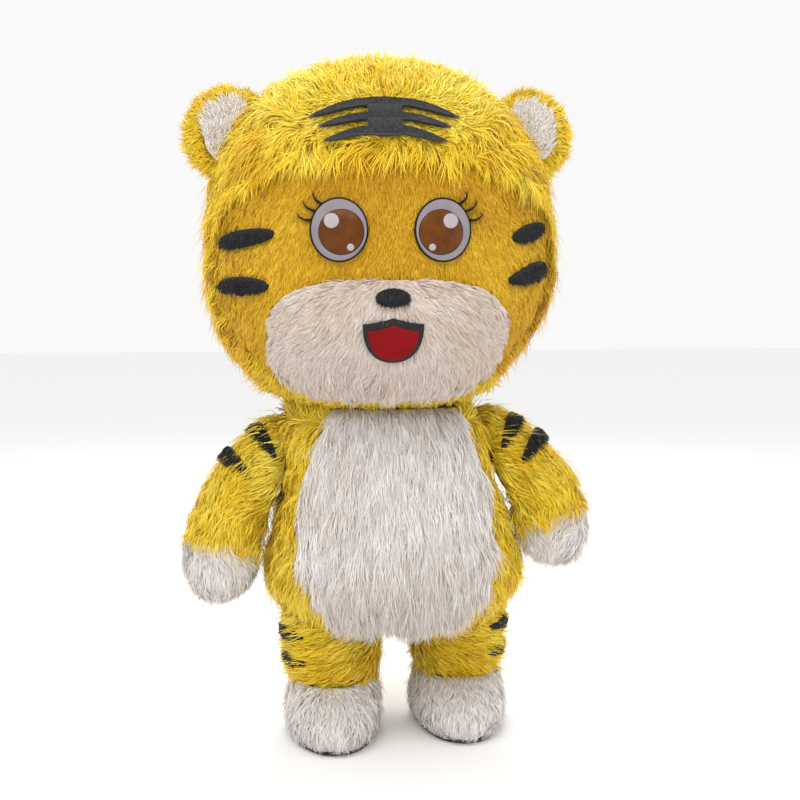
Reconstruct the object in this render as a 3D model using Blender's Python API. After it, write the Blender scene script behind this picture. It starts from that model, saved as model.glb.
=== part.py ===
"""Inflatable plush tiger costume, filled out and standing on its own two soles.

Metres, +Z up, the front faces -Y, and the floor is at height 0. Left and right are the wearer's, so
left is +X. Every wall is the cloth with its pile: the outer face is where the pile ends, and the inner
face is the backing. The suit is hollow from the soles to the crown.
"""

import math

import bpy
import bmesh
import numpy as np
from mathutils import Matrix, Vector
from mathutils.bvhtree import BVHTree
from mathutils.geometry import tessellate_polygon

# Faces around each kind of round piece
HEAD_SIDES = 30
TORSO_HALF_SIDES = 14
LIMB_SIDES = 20
FOOT_SIDES = 22
EAR_SIDES = 20
STRIPE_POINTS = 16
MUZZLE_POINTS = 28
FACE_POINTS = 36

# Gaps and walls
SEAM = 0.0003
LONG_PILE_WALL = 0.026
SHORT_PILE_WALL = 0.015
SHORT_PILE_STEP = 0.011
TRIM = 0.0025
SEAT_STEP = 0.0002

# Head, a rounded box form about a vertical axis
HEAD_CENTRE_X = -0.030
HEAD_TOP = 2.000
HEAD_WIDEST = 1.400
HEAD_BOTTOM = 0.970
HEAD_HALF_WIDTH = 0.520
HEAD_HALF_DEPTH = 0.455
HEAD_PLAN_POWER = 2.3
HEAD_UPPER_POWER = 2.35
HEAD_LOWER_POWER = 2.6
HEAD_MIDDLE_SHARE = 0.8
HEAD_ANGLE_BELOW = -0.10
HEAD_ROWS_BELOW = 5
HEAD_ROWS_ABOVE = 8
POLE_ANGLE = 0.03
NECK_HEIGHT = 1.000
NECK_HALF_WIDTH = 0.264
NECK_HALF_DEPTH = 0.231

# Face and muzzle panels, as rounded outlines seen from the front
FACE_HALF_WIDTH = 0.488
FACE_CENTRE = 1.385
FACE_RISE = 0.325
FACE_DROP = 0.345
FACE_POWER = 2.5
FACE_ROW_LOW = 1.020
FACE_ANGLE_TOP = 0.80
FACE_ANGLE_SIDE = math.radians(80)
MUZZLE_HALF_WIDTH = 0.342
MUZZLE_CENTRE = 1.205
MUZZLE_RISE = 0.170
MUZZLE_DROP = 0.178
MUZZLE_POWER = 2.9
MUZZLE_BULGE = 0.075
MUZZLE_BULGE_POWER = 0.75
MUZZLE_RINGS = (0.0, 0.2, 0.4, 0.6, 0.78, 0.9, 0.97, 1.0)
PRISM_FRONT = -0.80
PRISM_BACK = -0.02

# Face trim
EYE_X = 0.139
EYE_HEIGHT = 1.500
EYE_HALF_WIDTH = 0.078
EYE_HALF_HEIGHT = 0.086
IRIS_RADIUS = 0.061
IRIS_SHIFT = 0.006
IRIS_DROP = 0.006
NOSE_HEIGHT = 1.322
NOSE_HALF_WIDTH = 0.046
NOSE_HALF_HEIGHT = 0.024
NOSE_PAD = 0.016
MOUTH_CENTRE = 1.219
MOUTH_HALF_WIDTH = 0.081
MOUTH_CORNER = 0.034
MOUTH_DEPTH = 0.100
MOUTH_BOW = 0.016
MOUTH_BOW_POWER = 1.6
MOUTH_BOW_STEPS = 8
MOUTH_BOWL_STEPS = 14
MOUTH_EDGE = 0.0145
MOUTH_TOP_SHARE = 1.3
CHEEK_HALF_WIDTH = 0.024
CHEEK_TAPER = 0.85
CHEEK_STRIPES = {
    # side: label, degrees round the head, height, half length, rise over the half length
    "left": (("upper", 50, 1.497, 0.080, 0.016), ("lower", 50, 1.376, 0.094, 0.016)),
    "right": (("upper", -50, 1.479, 0.116, 0.013), ("lower", -51.5, 1.347, 0.108, 0.001)),
}
STRIPE_TAPER = 1.25

# Brow mark: a stem with three curved bars on each side, seen from the front
BROW_STEM_HALF_WIDTH = 0.046
BROW_BARS = (
    # tip_out, tip_height, root_top, root_bottom
    (0.200, 1.796, 1.846, 1.826),
    (0.176, 1.770, 1.806, 1.788),
    (0.164, 1.731, 1.769, 1.748),
)
BROW_CURVE = 1.7
BROW_FULLNESS = 3.5
BROW_STEPS = 6
BROW_CROWN = 0.002
BROW_FOOT = 0.004
BROW_SHIFT = -0.012

# Ears, flattened round cushions
EAR_OUT = 0.438
EAR_BACK = 0.02
EAR_HEIGHT = 1.785
EAR_RADIUS = 0.148
EAR_HALF_THICKNESS = 0.066
EAR_WALL = 0.020
EAR_ROWS = 8
EAR_POWERS = (2.05, 2.05, 2.3)
EAR_FRONT_OUT = 0.434
EAR_FRONT_HALF_WIDTH = 0.080
EAR_FRONT_HALF_HEIGHT = 0.094
EAR_FRONT_POWER = 2.2
EAR_FRONT_POINTS = 24

# Body, from the crotch up to the neck
TORSO_POWER = HEAD_PLAN_POWER
TORSO_SECTIONS = (
    # height, half_width, front, back, shift
    (0.3200, 0.000, 0.000, 0.000, 0.000),
    (0.3215, 0.110, 0.100, 0.100, 0.000),
    (0.3300, 0.218, 0.185, 0.180, 0.004),
    (0.3560, 0.309, 0.252, 0.245, 0.007),
    (0.4000, 0.357, 0.292, 0.282, 0.009),
    (0.4600, 0.383, 0.316, 0.305, 0.010),
    (0.5400, 0.384, 0.324, 0.312, 0.009),
    (0.6300, 0.360, 0.324, 0.312, 0.004),
    (0.7300, 0.342, 0.318, 0.306, -0.004),
    (0.8200, 0.331, 0.306, 0.296, -0.010),
    (0.9000, 0.320, 0.290, 0.282, -0.018),
    (0.9500, 0.306, 0.272, 0.265, -0.024),
    (0.9830, 0.288, 0.254, 0.250, -0.028),
    (NECK_HEIGHT - SEAM, NECK_HALF_WIDTH, NECK_HALF_DEPTH, NECK_HALF_DEPTH, HEAD_CENTRE_X),
)
CROTCH_OPEN_ROW = 0.2
BELLY_ANGLE_SIDE = math.radians(75)
BELLY_COLUMNS = 12
BELLY_FOOT = 0.007
BELLY_PRISM_BACK = -0.05
BELLY_HALF_WIDTHS = (
    # height, half_width
    (0.345, 0.060),
    (0.362, 0.120),
    (0.396, 0.176),
    (0.440, 0.222),
    (0.495, 0.255),
    (0.560, 0.277),
    (0.640, 0.288),
    (0.720, 0.284),
    (0.800, 0.270),
    (0.880, 0.243),
    (0.950, 0.208),
    (1.010, 0.176),
)

# Centre-back zip and its slider
ZIP_STEPS = 10
ZIP_BOTTOM = 0.44
ZIP_TOP = 0.93
ZIP_HALF_WIDTH = 0.012
ZIP_DEPTH = 0.017
ZIP_PRISM = (0.05, 0.50)
TAPE_THICKNESS = 0.0015
TAPE_CLEARANCE = 0.0009
CHAIN_HALF_WIDTH = 0.003
CHAIN_HEIGHT = 0.002
SLIDER_HEIGHT = 0.885
SLIDER_BODY = (0.0120, 0.0050, 0.0200)
BAR_RADIUS = 0.0013
BAR_SIDES = 16
EYE_SIDES = 20
EYE_RADIUS = 0.0032
EYE_BORE = 0.0017
PULL_WIDTH = 0.0070
PULL_LENGTH = 0.036
PULL_THICKNESS = 0.0018
CHEEK_PLATE = 0.0018

# Air inlet on the back
INLET_ANGLE = math.radians(146)
INLET_SECTION = 5.3
INLET_RADIUS = 0.068
INLET_RIM = 0.007
INLET_DEPTH = 0.014
INLET_SINK = 0.010
INLET_BAR = 0.003
INLET_BARS = 7
INLET_SCREEN = 0.002
INLET_SIDES = 32

# Arms, swept tubes that end in round paws
ARM_POWER = 2.1
ARM_SECTIONS = (
    # along, radius
    (0.00, 0.125),
    (0.18, 0.124),
    (0.36, 0.119),
    (0.54, 0.114),
    (0.70, 0.116),
    (0.80, 0.119),
    (0.88, 0.113),
    (0.94, 0.092),
    (0.98, 0.058),
    (1.00, 0.000),
)
WRIST_SECTION = 4.25
SHOULDER_BLOCK_SECTION = 3.5
PALM_SECTION = 6.6
KNUCKLE_SECTION = 7.3
ARM_PATHS = {
    "right": ((-0.200, 0.000, 0.872), (-0.546, -0.045, 0.806), (-0.508, -0.090, 0.405)),
    "left": ((0.180, 0.000, 0.872), (0.518, -0.045, 0.842), (0.488, -0.085, 0.500)),
}
ARM_STRIPE_SECTIONS = {"right": (1.38, 2.20), "left": (1.42, 2.12)}
ARM_STRIPE_ANGLE = math.radians(70)
ARM_STRIPE_HALF_LENGTH = 0.130
ARM_STRIPE_HALF_WIDTH = 0.024

# Legs and feet
LEG_X = {"right": -0.179, "left": 0.207}
LEG_POWER = 2.1
ANKLE_HEIGHT = 0.170
LEG_SECTIONS = (
    # height, half_width, front, back, shift
    (ANKLE_HEIGHT + SEAM / 2, 0.136, 0.137, 0.137, 0.0),
    (0.200, 0.143, 0.143, 0.143, 0.0),
    (0.250, 0.150, 0.150, 0.150, 0.0),
    (0.320, 0.154, 0.156, 0.156, 0.0),
    (0.400, 0.156, 0.158, 0.158, 0.0),
    (0.470, 0.156, 0.158, 0.158, 0.0),
)
LEG_CUT_TOP = 4.6
LEG_BLOCK_SECTIONS = (1.0, 4.9)
LEG_STRIPE_HEIGHTS = (2.85, 1.55)
LEG_STRIPE_ANGLE = math.radians(74)
LEG_STRIPE_HALF_LENGTH = 0.105
LEG_STRIPE_HALF_WIDTH = 0.0185
SOLE_THICKNESS = 0.006
FOOT_SECTIONS = (
    # height, half_width, front, back, shift
    (SOLE_THICKNESS, 0.128, 0.268, 0.132, 0.0),
    (0.016, 0.139, 0.286, 0.143, 0.0),
    (0.040, 0.146, 0.298, 0.150, 0.0),
    (0.075, 0.147, 0.296, 0.151, 0.0),
    (0.110, 0.145, 0.272, 0.148, 0.0),
    (0.140, 0.140, 0.222, 0.142, 0.0),
    (0.158, 0.137, 0.170, 0.138, 0.0),
    (ANKLE_HEIGHT - SEAM / 2, 0.136, 0.137, 0.137, 0.0),
)
LEG_Y = {"right": -0.030, "left": 0.036}

# The wearer's two sides, with the sign of x on each
SIDES = (("left", 1), ("right", -1))

# Points nearer than this are one point
MEETS = 1e-6
LONG_CUT = 0.2

# Colour, roughness and metallic value of each finish
FINISHES = {
    "yellow_long_pile": ((0.93, 0.66, 0.06), 0.85, 0.0),
    "yellow_short_pile": ((0.86, 0.56, 0.05), 0.85, 0.0),
    "white_pile": ((0.92, 0.89, 0.84), 0.85, 0.0),
    "cream_pile": ((0.90, 0.80, 0.70), 0.85, 0.0),
    "black_pile": ((0.02, 0.02, 0.025), 0.80, 0.0),
    "eye_cloth": ((0.72, 0.70, 0.78), 0.60, 0.0),
    "brown_film": ((0.30, 0.12, 0.02), 0.15, 0.0),
    "red_cloth": ((0.55, 0.01, 0.03), 0.70, 0.0),
    "zip_tape": ((0.80, 0.58, 0.08), 0.75, 0.0),
    "zip_metal": ((0.60, 0.60, 0.62), 0.35, 1.0),
    "grey_plastic": ((0.05, 0.05, 0.055), 0.45, 0.0),
    "sole_cloth": ((0.10, 0.10, 0.11), 0.80, 0.0),
}


def clear_scene():
    for obj in list(bpy.data.objects):
        bpy.data.objects.remove(obj, do_unlink=True)


def finish(name):
    """The Principled material of this finish, made on first use."""
    found = bpy.data.materials.get(name)
    if found:
        return found
    colour, roughness, metallic = FINISHES[name]
    material = bpy.data.materials.new(name)
    material.use_nodes = True
    shader = material.node_tree.nodes["Principled BSDF"]
    shader.inputs["Base Color"].default_value = (*colour, 1.0)
    shader.inputs["Roughness"].default_value = roughness
    shader.inputs["Metallic"].default_value = metallic
    return material


def signed_power(value, exponent):
    return math.copysign(abs(value) ** exponent, value)


def smooth_row(table, place):
    """A row of the table at a fractional place, on a smooth curve through all its rows."""
    rows = np.array(table, float)
    place = min(max(place, 0.0), len(rows) - 1.0)
    index = min(int(place), len(rows) - 2)
    t = place - index
    before = rows[max(index - 1, 0)]
    start, end = rows[index], rows[index + 1]
    after = rows[min(index + 2, len(rows) - 1)]
    slope_start = (end - before) / 2
    slope_end = (after - start) / 2
    bend = 3 * (end - start) - 2 * slope_start - slope_end
    twist = 2 * (start - end) + slope_start + slope_end
    return tuple((start + t * (slope_start + t * (bend + t * twist))).tolist())


class Form:
    """A closed round form: point(u, v) lies on it, u turns from the front to the wearer's left or
    outer side, and v runs along it. Its normal always leads away from the middle line."""

    step = 1e-3
    end_steps = 20

    def __init__(self, low, high):
        self.low = low
        self.high = high

    def place(self, u, v):
        """The point at u, v and the normal there."""
        margin = self.end_steps * self.step
        inside = min(max(v, self.low + margin), self.high - margin)
        along = self.point(u, inside + self.step) - self.point(u, inside - self.step)
        around = self.point(u + self.step, inside) - self.point(u - self.step, inside)
        normal = around.cross(along).normalized()
        if normal.dot(self.point(u, inside) - self.middle(inside)) < 0:
            normal.negate()
        point = self.point(u, v)
        if (self.point(u + 1.0, v) - point).length < MEETS:
            normal = (point - self.middle(inside)).normalized()
        return point, normal

    def spans(self, u, v):
        """Metres for each unit of u and of v at this place."""
        around = self.point(u + self.step, v) - self.point(u - self.step, v)
        along = self.point(u, v + self.step) - self.point(u, v - self.step)
        return around.length / (2 * self.step), along.length / (2 * self.step)


class RoundedBox(Form):
    """A superellipsoid with its own size above and below its widest level; v is an angle."""

    def __init__(self, centre, half_width, half_depth, heights, powers, low=-math.pi / 2):
        super().__init__(low, math.pi / 2)
        self.centre = Vector(centre)
        self.half_width = half_width
        self.half_depth = half_depth
        self.heights = heights
        self.powers = powers

    def level(self, v):
        upper = v >= 0
        power = self.powers[1] if upper else self.powers[0]
        reach = self.heights[1] if upper else self.heights[0]
        return reach * signed_power(math.sin(v), 2 / power), abs(math.cos(v)) ** (2 / power)

    def angle_at(self, height):
        rise = height - self.centre.z
        upper = rise >= 0
        power = self.powers[1] if upper else self.powers[0]
        reach = self.heights[1] if upper else self.heights[0]
        return math.copysign(math.asin(min(abs(rise) / reach, 1.0) ** (power / 2)), rise)

    def middle(self, v):
        return self.centre + Vector((0, 0, HEAD_MIDDLE_SHARE * self.level(v)[0]))

    def point(self, u, v):
        rise, share = self.level(v)
        x = self.half_width * share * signed_power(math.sin(u), 2 / self.powers[2])
        y = -self.half_depth * share * signed_power(math.cos(u), 2 / self.powers[2])
        return self.centre + Vector((x, y, rise))

    def front(self, x, z):
        """How far forward the form lies at x and z, seen from the front."""
        share = self.level(self.angle_at(z))[1]
        side = min(abs(x - self.centre.x) / (self.half_width * share), 1.0)
        lean = (1 - side ** self.powers[2]) ** (1 / self.powers[2])
        return self.centre.y - self.half_depth * share * lean


class Stack(Form):
    """A form through a table of level sections; v counts the table's rows."""

    def __init__(self, table, power, centre=(0.0, 0.0)):
        super().__init__(0.0, len(table) - 1.0)
        self.table = table
        self.power = power
        self.centre = centre

    def middle(self, v):
        row = smooth_row(self.table, v)
        return Vector((self.centre[0] + row[4], self.centre[1], row[0]))

    def point(self, u, v):
        height, half_width, front, back, shift = smooth_row(self.table, v)
        forward = signed_power(math.cos(u), 2 / self.power)
        depth = front if forward > 0 else back
        x = shift + half_width * signed_power(math.sin(u), 2 / self.power)
        return Vector((self.centre[0] + x, self.centre[1] - depth * forward, height))

    def row_at(self, height):
        """The fractional row at this height, by halving."""
        low, high = self.low, self.high
        for _ in range(40):
            half = (low + high) / 2
            if smooth_row(self.table, half)[0] < height:
                low = half
            else:
                high = half
        return (low + high) / 2


class Sweep(Form):
    """A round form along a curve bent by three points; v counts the rows of its radius table."""

    def __init__(self, table, path, power, side):
        super().__init__(0.0, len(table) - 1.0)
        self.table = table
        self.path = [Vector(point) for point in path]
        self.power = power
        self.side = side

    def middle(self, v):
        start, bend, end = self.path
        t = smooth_row(self.table, v)[0]
        return (1 - t) ** 2 * start + 2 * t * (1 - t) * bend + t * t * end

    def point(self, u, v):
        start, bend, end = self.path
        t, radius = smooth_row(self.table, v)
        heading = (2 * (1 - t) * (bend - start) + 2 * t * (end - bend)).normalized()
        forward = Vector((0, -1, 0))
        forward = (forward - forward.dot(heading) * heading).normalized()
        outward = self.side * forward.cross(heading).normalized()
        across = signed_power(math.sin(u), 2 / self.power)
        ahead = signed_power(math.cos(u), 2 / self.power)
        return self.middle(v) + radius * (across * outward + ahead * forward)


def angles(start, end, count):
    return [start + (end - start) * k / count for k in range(count + 1)]


def turn(count):
    """Angles all the way round, without repeating the first."""
    return [2 * math.pi * k / count for k in range(count)]


def keep_to_side(point, side, middle):
    """Holds a point half a seam off the middle line, on its own side."""
    if side:
        point.x = middle + side * max(side * (point.x - middle), SEAM / 2)
    return point


def mesh_object(name, bm, material):
    """Closes a bmesh into a smooth object with its faces pointing out."""
    bmesh.ops.remove_doubles(bm, verts=bm.verts, dist=MEETS)
    bmesh.ops.recalc_face_normals(bm, faces=bm.faces)
    mesh = bpy.data.meshes.new(name)
    bm.to_mesh(mesh)
    bm.free()
    mesh.shade_smooth()
    mesh.set_sharp_from_angle(angle=math.radians(40))
    obj = bpy.data.objects.new(name, mesh)
    bpy.context.collection.objects.link(obj)
    if material:
        mesh.materials.append(finish(material))
    return obj


def wall_between(name, outer, inner, material, wrap=False):
    """A closed wall between two grids of points. A row whose points meet becomes one pole."""
    bm = bmesh.new()
    layers = []
    for grid in (outer, inner):
        rows = []
        for row in grid:
            if max((point - row[0]).length for point in row) < MEETS:
                rows.append([bm.verts.new(row[0])] * len(row))
            else:
                rows.append([bm.verts.new(point) for point in row])
        layers.append(rows)

    def face(*corners):
        kept = []
        for corner in corners:
            if corner not in kept:
                kept.append(corner)
        if len(kept) > 2:
            bm.faces.new(kept)

    columns = len(outer[0])
    spans = columns if wrap else columns - 1
    for rows in layers:
        for low, high in zip(rows, rows[1:]):
            for k in range(spans):
                after = (k + 1) % columns
                face(low[k], low[after], high[after], high[k])
    for end in (0, -1):
        out, into = layers[0][end], layers[1][end]
        if out[0] is out[-1]:
            continue
        for k in range(spans):
            after = (k + 1) % columns
            face(out[k], out[after], into[after], into[k])
    if not wrap:
        for edge in (0, -1):
            for low in range(len(outer) - 1):
                out, out_next = layers[0][low][edge], layers[0][low + 1][edge]
                into, into_next = layers[1][low][edge], layers[1][low + 1][edge]
                face(out, out_next, into_next, into)
    return mesh_object(name, bm, material)


def cloth(
    name, form, us, vs, material, inset=0.0, wall=LONG_PILE_WALL, side=0, level_rows=(), wrap=False
):
    """A cloth wall on a form. Rows named in level_rows end in a level rim."""
    outer, inner = [], []
    for number, v in enumerate(vs):
        outer_row, inner_row = [], []
        for u in us:
            point, normal = form.place(u, v)
            face = point - inset * normal
            inward = normal
            if number in level_rows:
                inward = Vector((normal.x, normal.y, 0)).normalized()
            middle = form.middle(v).x
            outer_row.append(keep_to_side(face, side, middle))
            inner_row.append(keep_to_side(point - (inset + wall) * inward, side, middle))
        outer.append(outer_row)
        inner.append(inner_row)
    return wall_between(name, outer, inner, material, wrap)


def block(name, form, us, vs, grow, material=None):
    """The solid inside a form, grown by this much. With no material it only cuts its neighbours."""
    bm = bmesh.new()
    rows = []
    for v in vs:
        placed = [form.place(u, v) for u in us]
        rows.append([bm.verts.new(point + grow * normal) for point, normal in placed])
    for low, high in zip(rows, rows[1:]):
        for k in range(len(us)):
            after = (k + 1) % len(us)
            bm.faces.new((low[k], low[after], high[after], high[k]))
    bm.faces.new(rows[0])
    bm.faces.new(rows[-1])
    obj = mesh_object(name, bm, material)
    return obj if material else helper(obj)


def helper(obj):
    """Marks a cutter, which is never part of the costume."""
    obj.hide_render = True
    obj.display_type = "WIRE"
    return obj


def prism(name, outline, front=PRISM_FRONT, back=PRISM_BACK):
    """A cutter with this outline of (x, z), running from front to back."""
    bm = bmesh.new()
    near = [bm.verts.new((x, front, z)) for x, z in outline]
    far = [bm.verts.new((x, back, z)) for x, z in outline]
    for k in range(len(outline)):
        after = (k + 1) % len(outline)
        bm.faces.new((near[k], near[after], far[after], far[k]))
    bm.faces.new(near)
    bm.faces.new(far)
    return helper(mesh_object(name, bm, None))


def settle(obj):
    """Replaces an object's mesh by the one that its modifiers make."""
    bpy.context.view_layer.update()
    graph = bpy.context.evaluated_depsgraph_get()
    made = bpy.data.meshes.new_from_object(obj.evaluated_get(graph))
    obj.modifiers.clear()
    obj.data = made
    return obj


def combine(obj, others, operation):
    """Cuts, keeps or joins with each of the others in turn."""
    for other in others:
        modifier = obj.modifiers.new(operation.title(), "BOOLEAN")
        modifier.operation = operation
        modifier.solver = "EXACT"
        modifier.object = other
    return settle(obj)


def tree_of(obj):
    bm = bmesh.new()
    bm.from_mesh(obj.data)
    tree = BVHTree.FromBMesh(bm)
    bm.free()
    return tree


def seated(make, base):
    """Makes a piece that lies on another, lifted just enough that no face of the two meets."""
    below = tree_of(base)
    lift = 0.0
    while True:
        piece = make(lift)
        if not below.overlap(tree_of(piece)):
            break
        bpy.data.objects.remove(piece, do_unlink=True)
        lift += SEAT_STEP
    bpy.data.objects.remove(piece, do_unlink=True)
    return make(lift + SEAM)


def patch(name, place, centre, outline, material, lift, wall=TRIM, rings=2, crown=0.0):
    """A thin closed patch: rings from its middle out to its outline, set off along the normal."""
    outer, inner = [], []
    for ring in range(rings + 1):
        share = ring / rings
        outer_row, inner_row = [], []
        for p, q in outline:
            point, normal = place(
                centre[0] + share * (p - centre[0]),
                centre[1] + share * (q - centre[1]),
            )
            dome = crown * (1 - share * share)
            outer_row.append(point + (lift + wall + dome) * normal)
            inner_row.append(point + lift * normal)
        outer.append(outer_row)
        inner.append(inner_row)
    return wall_between(name, outer, inner, material, wrap=True)


def plate(name, place, outline, material, lift, wall=TRIM):
    """A thin closed piece of any outline, whose faces run from edge to edge."""
    bm = bmesh.new()
    placed = [place(p, q) for p, q in outline]
    top = [bm.verts.new(point + (lift + wall) * normal) for point, normal in placed]
    bottom = [bm.verts.new(point + lift * normal) for point, normal in placed]
    flat = [Vector((p, q, 0)) for p, q in outline]
    for corners in tessellate_polygon([flat]):
        bm.faces.new([top[k] for k in corners])
        bm.faces.new([bottom[k] for k in corners])
    for k in range(len(outline)):
        after = (k + 1) % len(outline)
        bm.faces.new((top[k], top[after], bottom[after], bottom[k]))
    return mesh_object(name, bm, material)


def oval(centre, half_width, rise, drop, power=2.0, count=20, grow=0.0):
    """A rounded outline of (x, z) about a centre."""
    points = []
    for angle in turn(count):
        reach = rise if math.sin(angle) >= 0 else drop
        x = (half_width + grow) * signed_power(math.cos(angle), 2 / power)
        z = (reach + grow) * signed_power(math.sin(angle), 2 / power)
        points.append((centre[0] + x, centre[1] + z))
    return points


def front_place(depth_at):
    """Places a point seen from the front on a surface given by its depth at x and z."""
    step = 1e-3

    def place(x, z):
        across = (depth_at(x + step, z) - depth_at(x - step, z)) / (2 * step)
        along = (depth_at(x, z + step) - depth_at(x, z - step)) / (2 * step)
        normal = Vector((across, -1.0, along)).normalized()
        return Vector((x, depth_at(x, z), z)), normal

    return place


def on_form(form, inset=0.0):
    def place(u, v):
        point, normal = form.place(u, v)
        return point - inset * normal, normal

    return place


def stripe_outline(form, centre, half_length, half_width, tilt=0.0, power=STRIPE_TAPER):
    """A stripe that tapers to both ends, in u and v about its centre on a form."""
    per_u, per_v = form.spans(*centre)
    outline = []
    for angle in turn(STRIPE_POINTS):
        along = half_length * math.cos(angle)
        taper = abs(math.sin(angle)) ** power
        across = half_width * math.copysign(taper, math.sin(angle)) + tilt * math.cos(angle)
        outline.append((centre[0] + along / per_u, centre[1] + across / per_v))
    return outline


HEAD = RoundedBox(
    (HEAD_CENTRE_X, 0.0, HEAD_WIDEST),
    HEAD_HALF_WIDTH,
    HEAD_HALF_DEPTH,
    (HEAD_WIDEST - HEAD_BOTTOM, HEAD_TOP - HEAD_WIDEST),
    (HEAD_LOWER_POWER, HEAD_UPPER_POWER, HEAD_PLAN_POWER),
)
TORSO = Stack(TORSO_SECTIONS, TORSO_POWER)
ARMS = {name: Sweep(ARM_SECTIONS, ARM_PATHS[name], ARM_POWER, side) for name, side in SIDES}
LEGS = {name: Stack(LEG_SECTIONS, LEG_POWER, (LEG_X[name], LEG_Y[name])) for name, _ in SIDES}
FEET = {name: Stack(FOOT_SECTIONS, LEG_POWER, (LEG_X[name], LEG_Y[name])) for name, _ in SIDES}


def face_outline(grow):
    centre = (HEAD_CENTRE_X, FACE_CENTRE)
    return oval(centre, FACE_HALF_WIDTH, FACE_RISE, FACE_DROP, FACE_POWER, FACE_POINTS, grow)


def muzzle_outline(grow):
    centre = (HEAD_CENTRE_X, MUZZLE_CENTRE)
    sizes = (MUZZLE_HALF_WIDTH, MUZZLE_RISE, MUZZLE_DROP)
    return oval(centre, *sizes, MUZZLE_POWER, MUZZLE_POINTS, grow)


def face_depth(x, z):
    return HEAD.front(x, z) + SHORT_PILE_STEP


def muzzle_depth(x, z):
    """The muzzle's surface: the face, pushed forward in a soft cushion."""
    reach = MUZZLE_RISE if z >= MUZZLE_CENTRE else MUZZLE_DROP
    across = abs((x - HEAD_CENTRE_X) / MUZZLE_HALF_WIDTH) ** MUZZLE_POWER
    along = abs((z - MUZZLE_CENTRE) / reach) ** MUZZLE_POWER
    edge = min(across + along, 1.0)
    return face_depth(x, z) - MUZZLE_BULGE * (1 - edge) ** MUZZLE_BULGE_POWER


def head_rows():
    """Levels of the head wall, closer where it turns under."""
    below = angles(HEAD.angle_at(NECK_HEIGHT), HEAD_ANGLE_BELOW, HEAD_ROWS_BELOW)
    return below + angles(0.0, math.pi / 2, HEAD_ROWS_ABOVE)


def build_head():
    HEAD.low = HEAD.angle_at(NECK_HEIGHT)
    back = cloth(
        "head_back",
        HEAD,
        turn(HEAD_SIDES),
        head_rows(),
        "yellow_long_pile",
        level_rows=(0,),
        wrap=True,
    )
    cut = [prism("face_cut", face_outline(SEAM / 2)), prism("muzzle_cut", muzzle_outline(SEAM / 2))]
    combine(back, cut, "DIFFERENCE")
    keep = prism("face_keep", face_outline(-SEAM / 2))
    for name, side in SIDES:
        us = [side * angle for angle in angles(0.0, FACE_ANGLE_SIDE, 9)]
        vs = angles(HEAD.angle_at(FACE_ROW_LOW), HEAD_ANGLE_BELOW, 5)
        vs += angles(0.0, FACE_ANGLE_TOP, 5)
        sizes = (SHORT_PILE_STEP, SHORT_PILE_WALL)
        face = cloth("face_" + name, HEAD, us, vs, "yellow_short_pile", *sizes, side)
        combine(face, [keep], "INTERSECT")
        combine(face, [cut[1]], "DIFFERENCE")
    for name, side in SIDES:
        muzzle_half("muzzle_" + name, side)


def muzzle_half(name, side):
    """One half of the muzzle cushion, in rings from its middle to its edge."""
    bends = angles(-math.pi / 2, math.pi / 2, MUZZLE_POINTS // 2)
    outer, inner = [], []
    half_width = MUZZLE_HALF_WIDTH - SEAM / 2
    for share in MUZZLE_RINGS:
        outer_row, inner_row = [], []
        for bend in bends:
            reach = MUZZLE_RISE if bend >= 0 else MUZZLE_DROP
            across = half_width * signed_power(math.cos(bend), 2 / MUZZLE_POWER)
            along = (reach - SEAM / 2) * signed_power(math.sin(bend), 2 / MUZZLE_POWER)
            x = HEAD_CENTRE_X + side * max(share * across, SEAM / 2)
            z = MUZZLE_CENTRE + share * along
            front = muzzle_depth(x, z)
            outer_row.append(Vector((x, front, z)))
            inner_row.append(Vector((x, front + SHORT_PILE_WALL, z)))
        outer.append(outer_row)
        inner.append(inner_row)
    return wall_between(name, outer, inner, "cream_pile")


def build_eyes():
    for name, side in SIDES:
        x = HEAD_CENTRE_X + side * EYE_X
        face = bpy.data.objects["face_" + name]
        centre = (x, EYE_HEIGHT)
        outline = oval(centre, EYE_HALF_WIDTH, EYE_HALF_HEIGHT, EYE_HALF_HEIGHT)
        place = front_place(face_depth)

        def white(lift, label="eye_" + name, centre=centre, outline=outline, place=place):
            return patch(label, place, centre, outline, "eye_cloth", lift)

        eye = seated(white, face)
        middle = (x - side * IRIS_SHIFT, EYE_HEIGHT - IRIS_DROP)
        rim = oval(middle, IRIS_RADIUS, IRIS_RADIUS, IRIS_RADIUS)

        def iris(lift, label="iris_" + name, centre=middle, outline=rim, place=place):
            return patch(label, place, centre, outline, "brown_film", lift)

        seated(iris, eye)


def nearest_of(names):
    """One object that holds the faces of several, to seat a piece that lies across them."""
    bm = bmesh.new()
    for name in names:
        bm.from_mesh(bpy.data.objects[name].data)
    return helper(mesh_object("seat", bm, None))


def mouth_outline(inset):
    """The smiling mouth: a bow along its top and a round bowl below."""
    half_width = MOUTH_HALF_WIDTH - inset
    corner = MOUTH_CENTRE + MOUTH_CORNER - MOUTH_TOP_SHARE * inset
    depth = MOUTH_DEPTH - (1 + MOUTH_TOP_SHARE) * inset
    points = []
    for k in range(MOUTH_BOW_STEPS + 1):
        share = -1 + 2 * k / MOUTH_BOW_STEPS
        bow = MOUTH_BOW * (1 - abs(share)) ** MOUTH_BOW_POWER
        points.append((HEAD_CENTRE_X + share * half_width, corner + bow))
    for k in range(1, MOUTH_BOWL_STEPS):
        angle = math.pi * k / MOUTH_BOWL_STEPS
        x = HEAD_CENTRE_X + half_width * math.cos(angle)
        points.append((x, corner - depth * math.sin(angle)))
    return points


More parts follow.
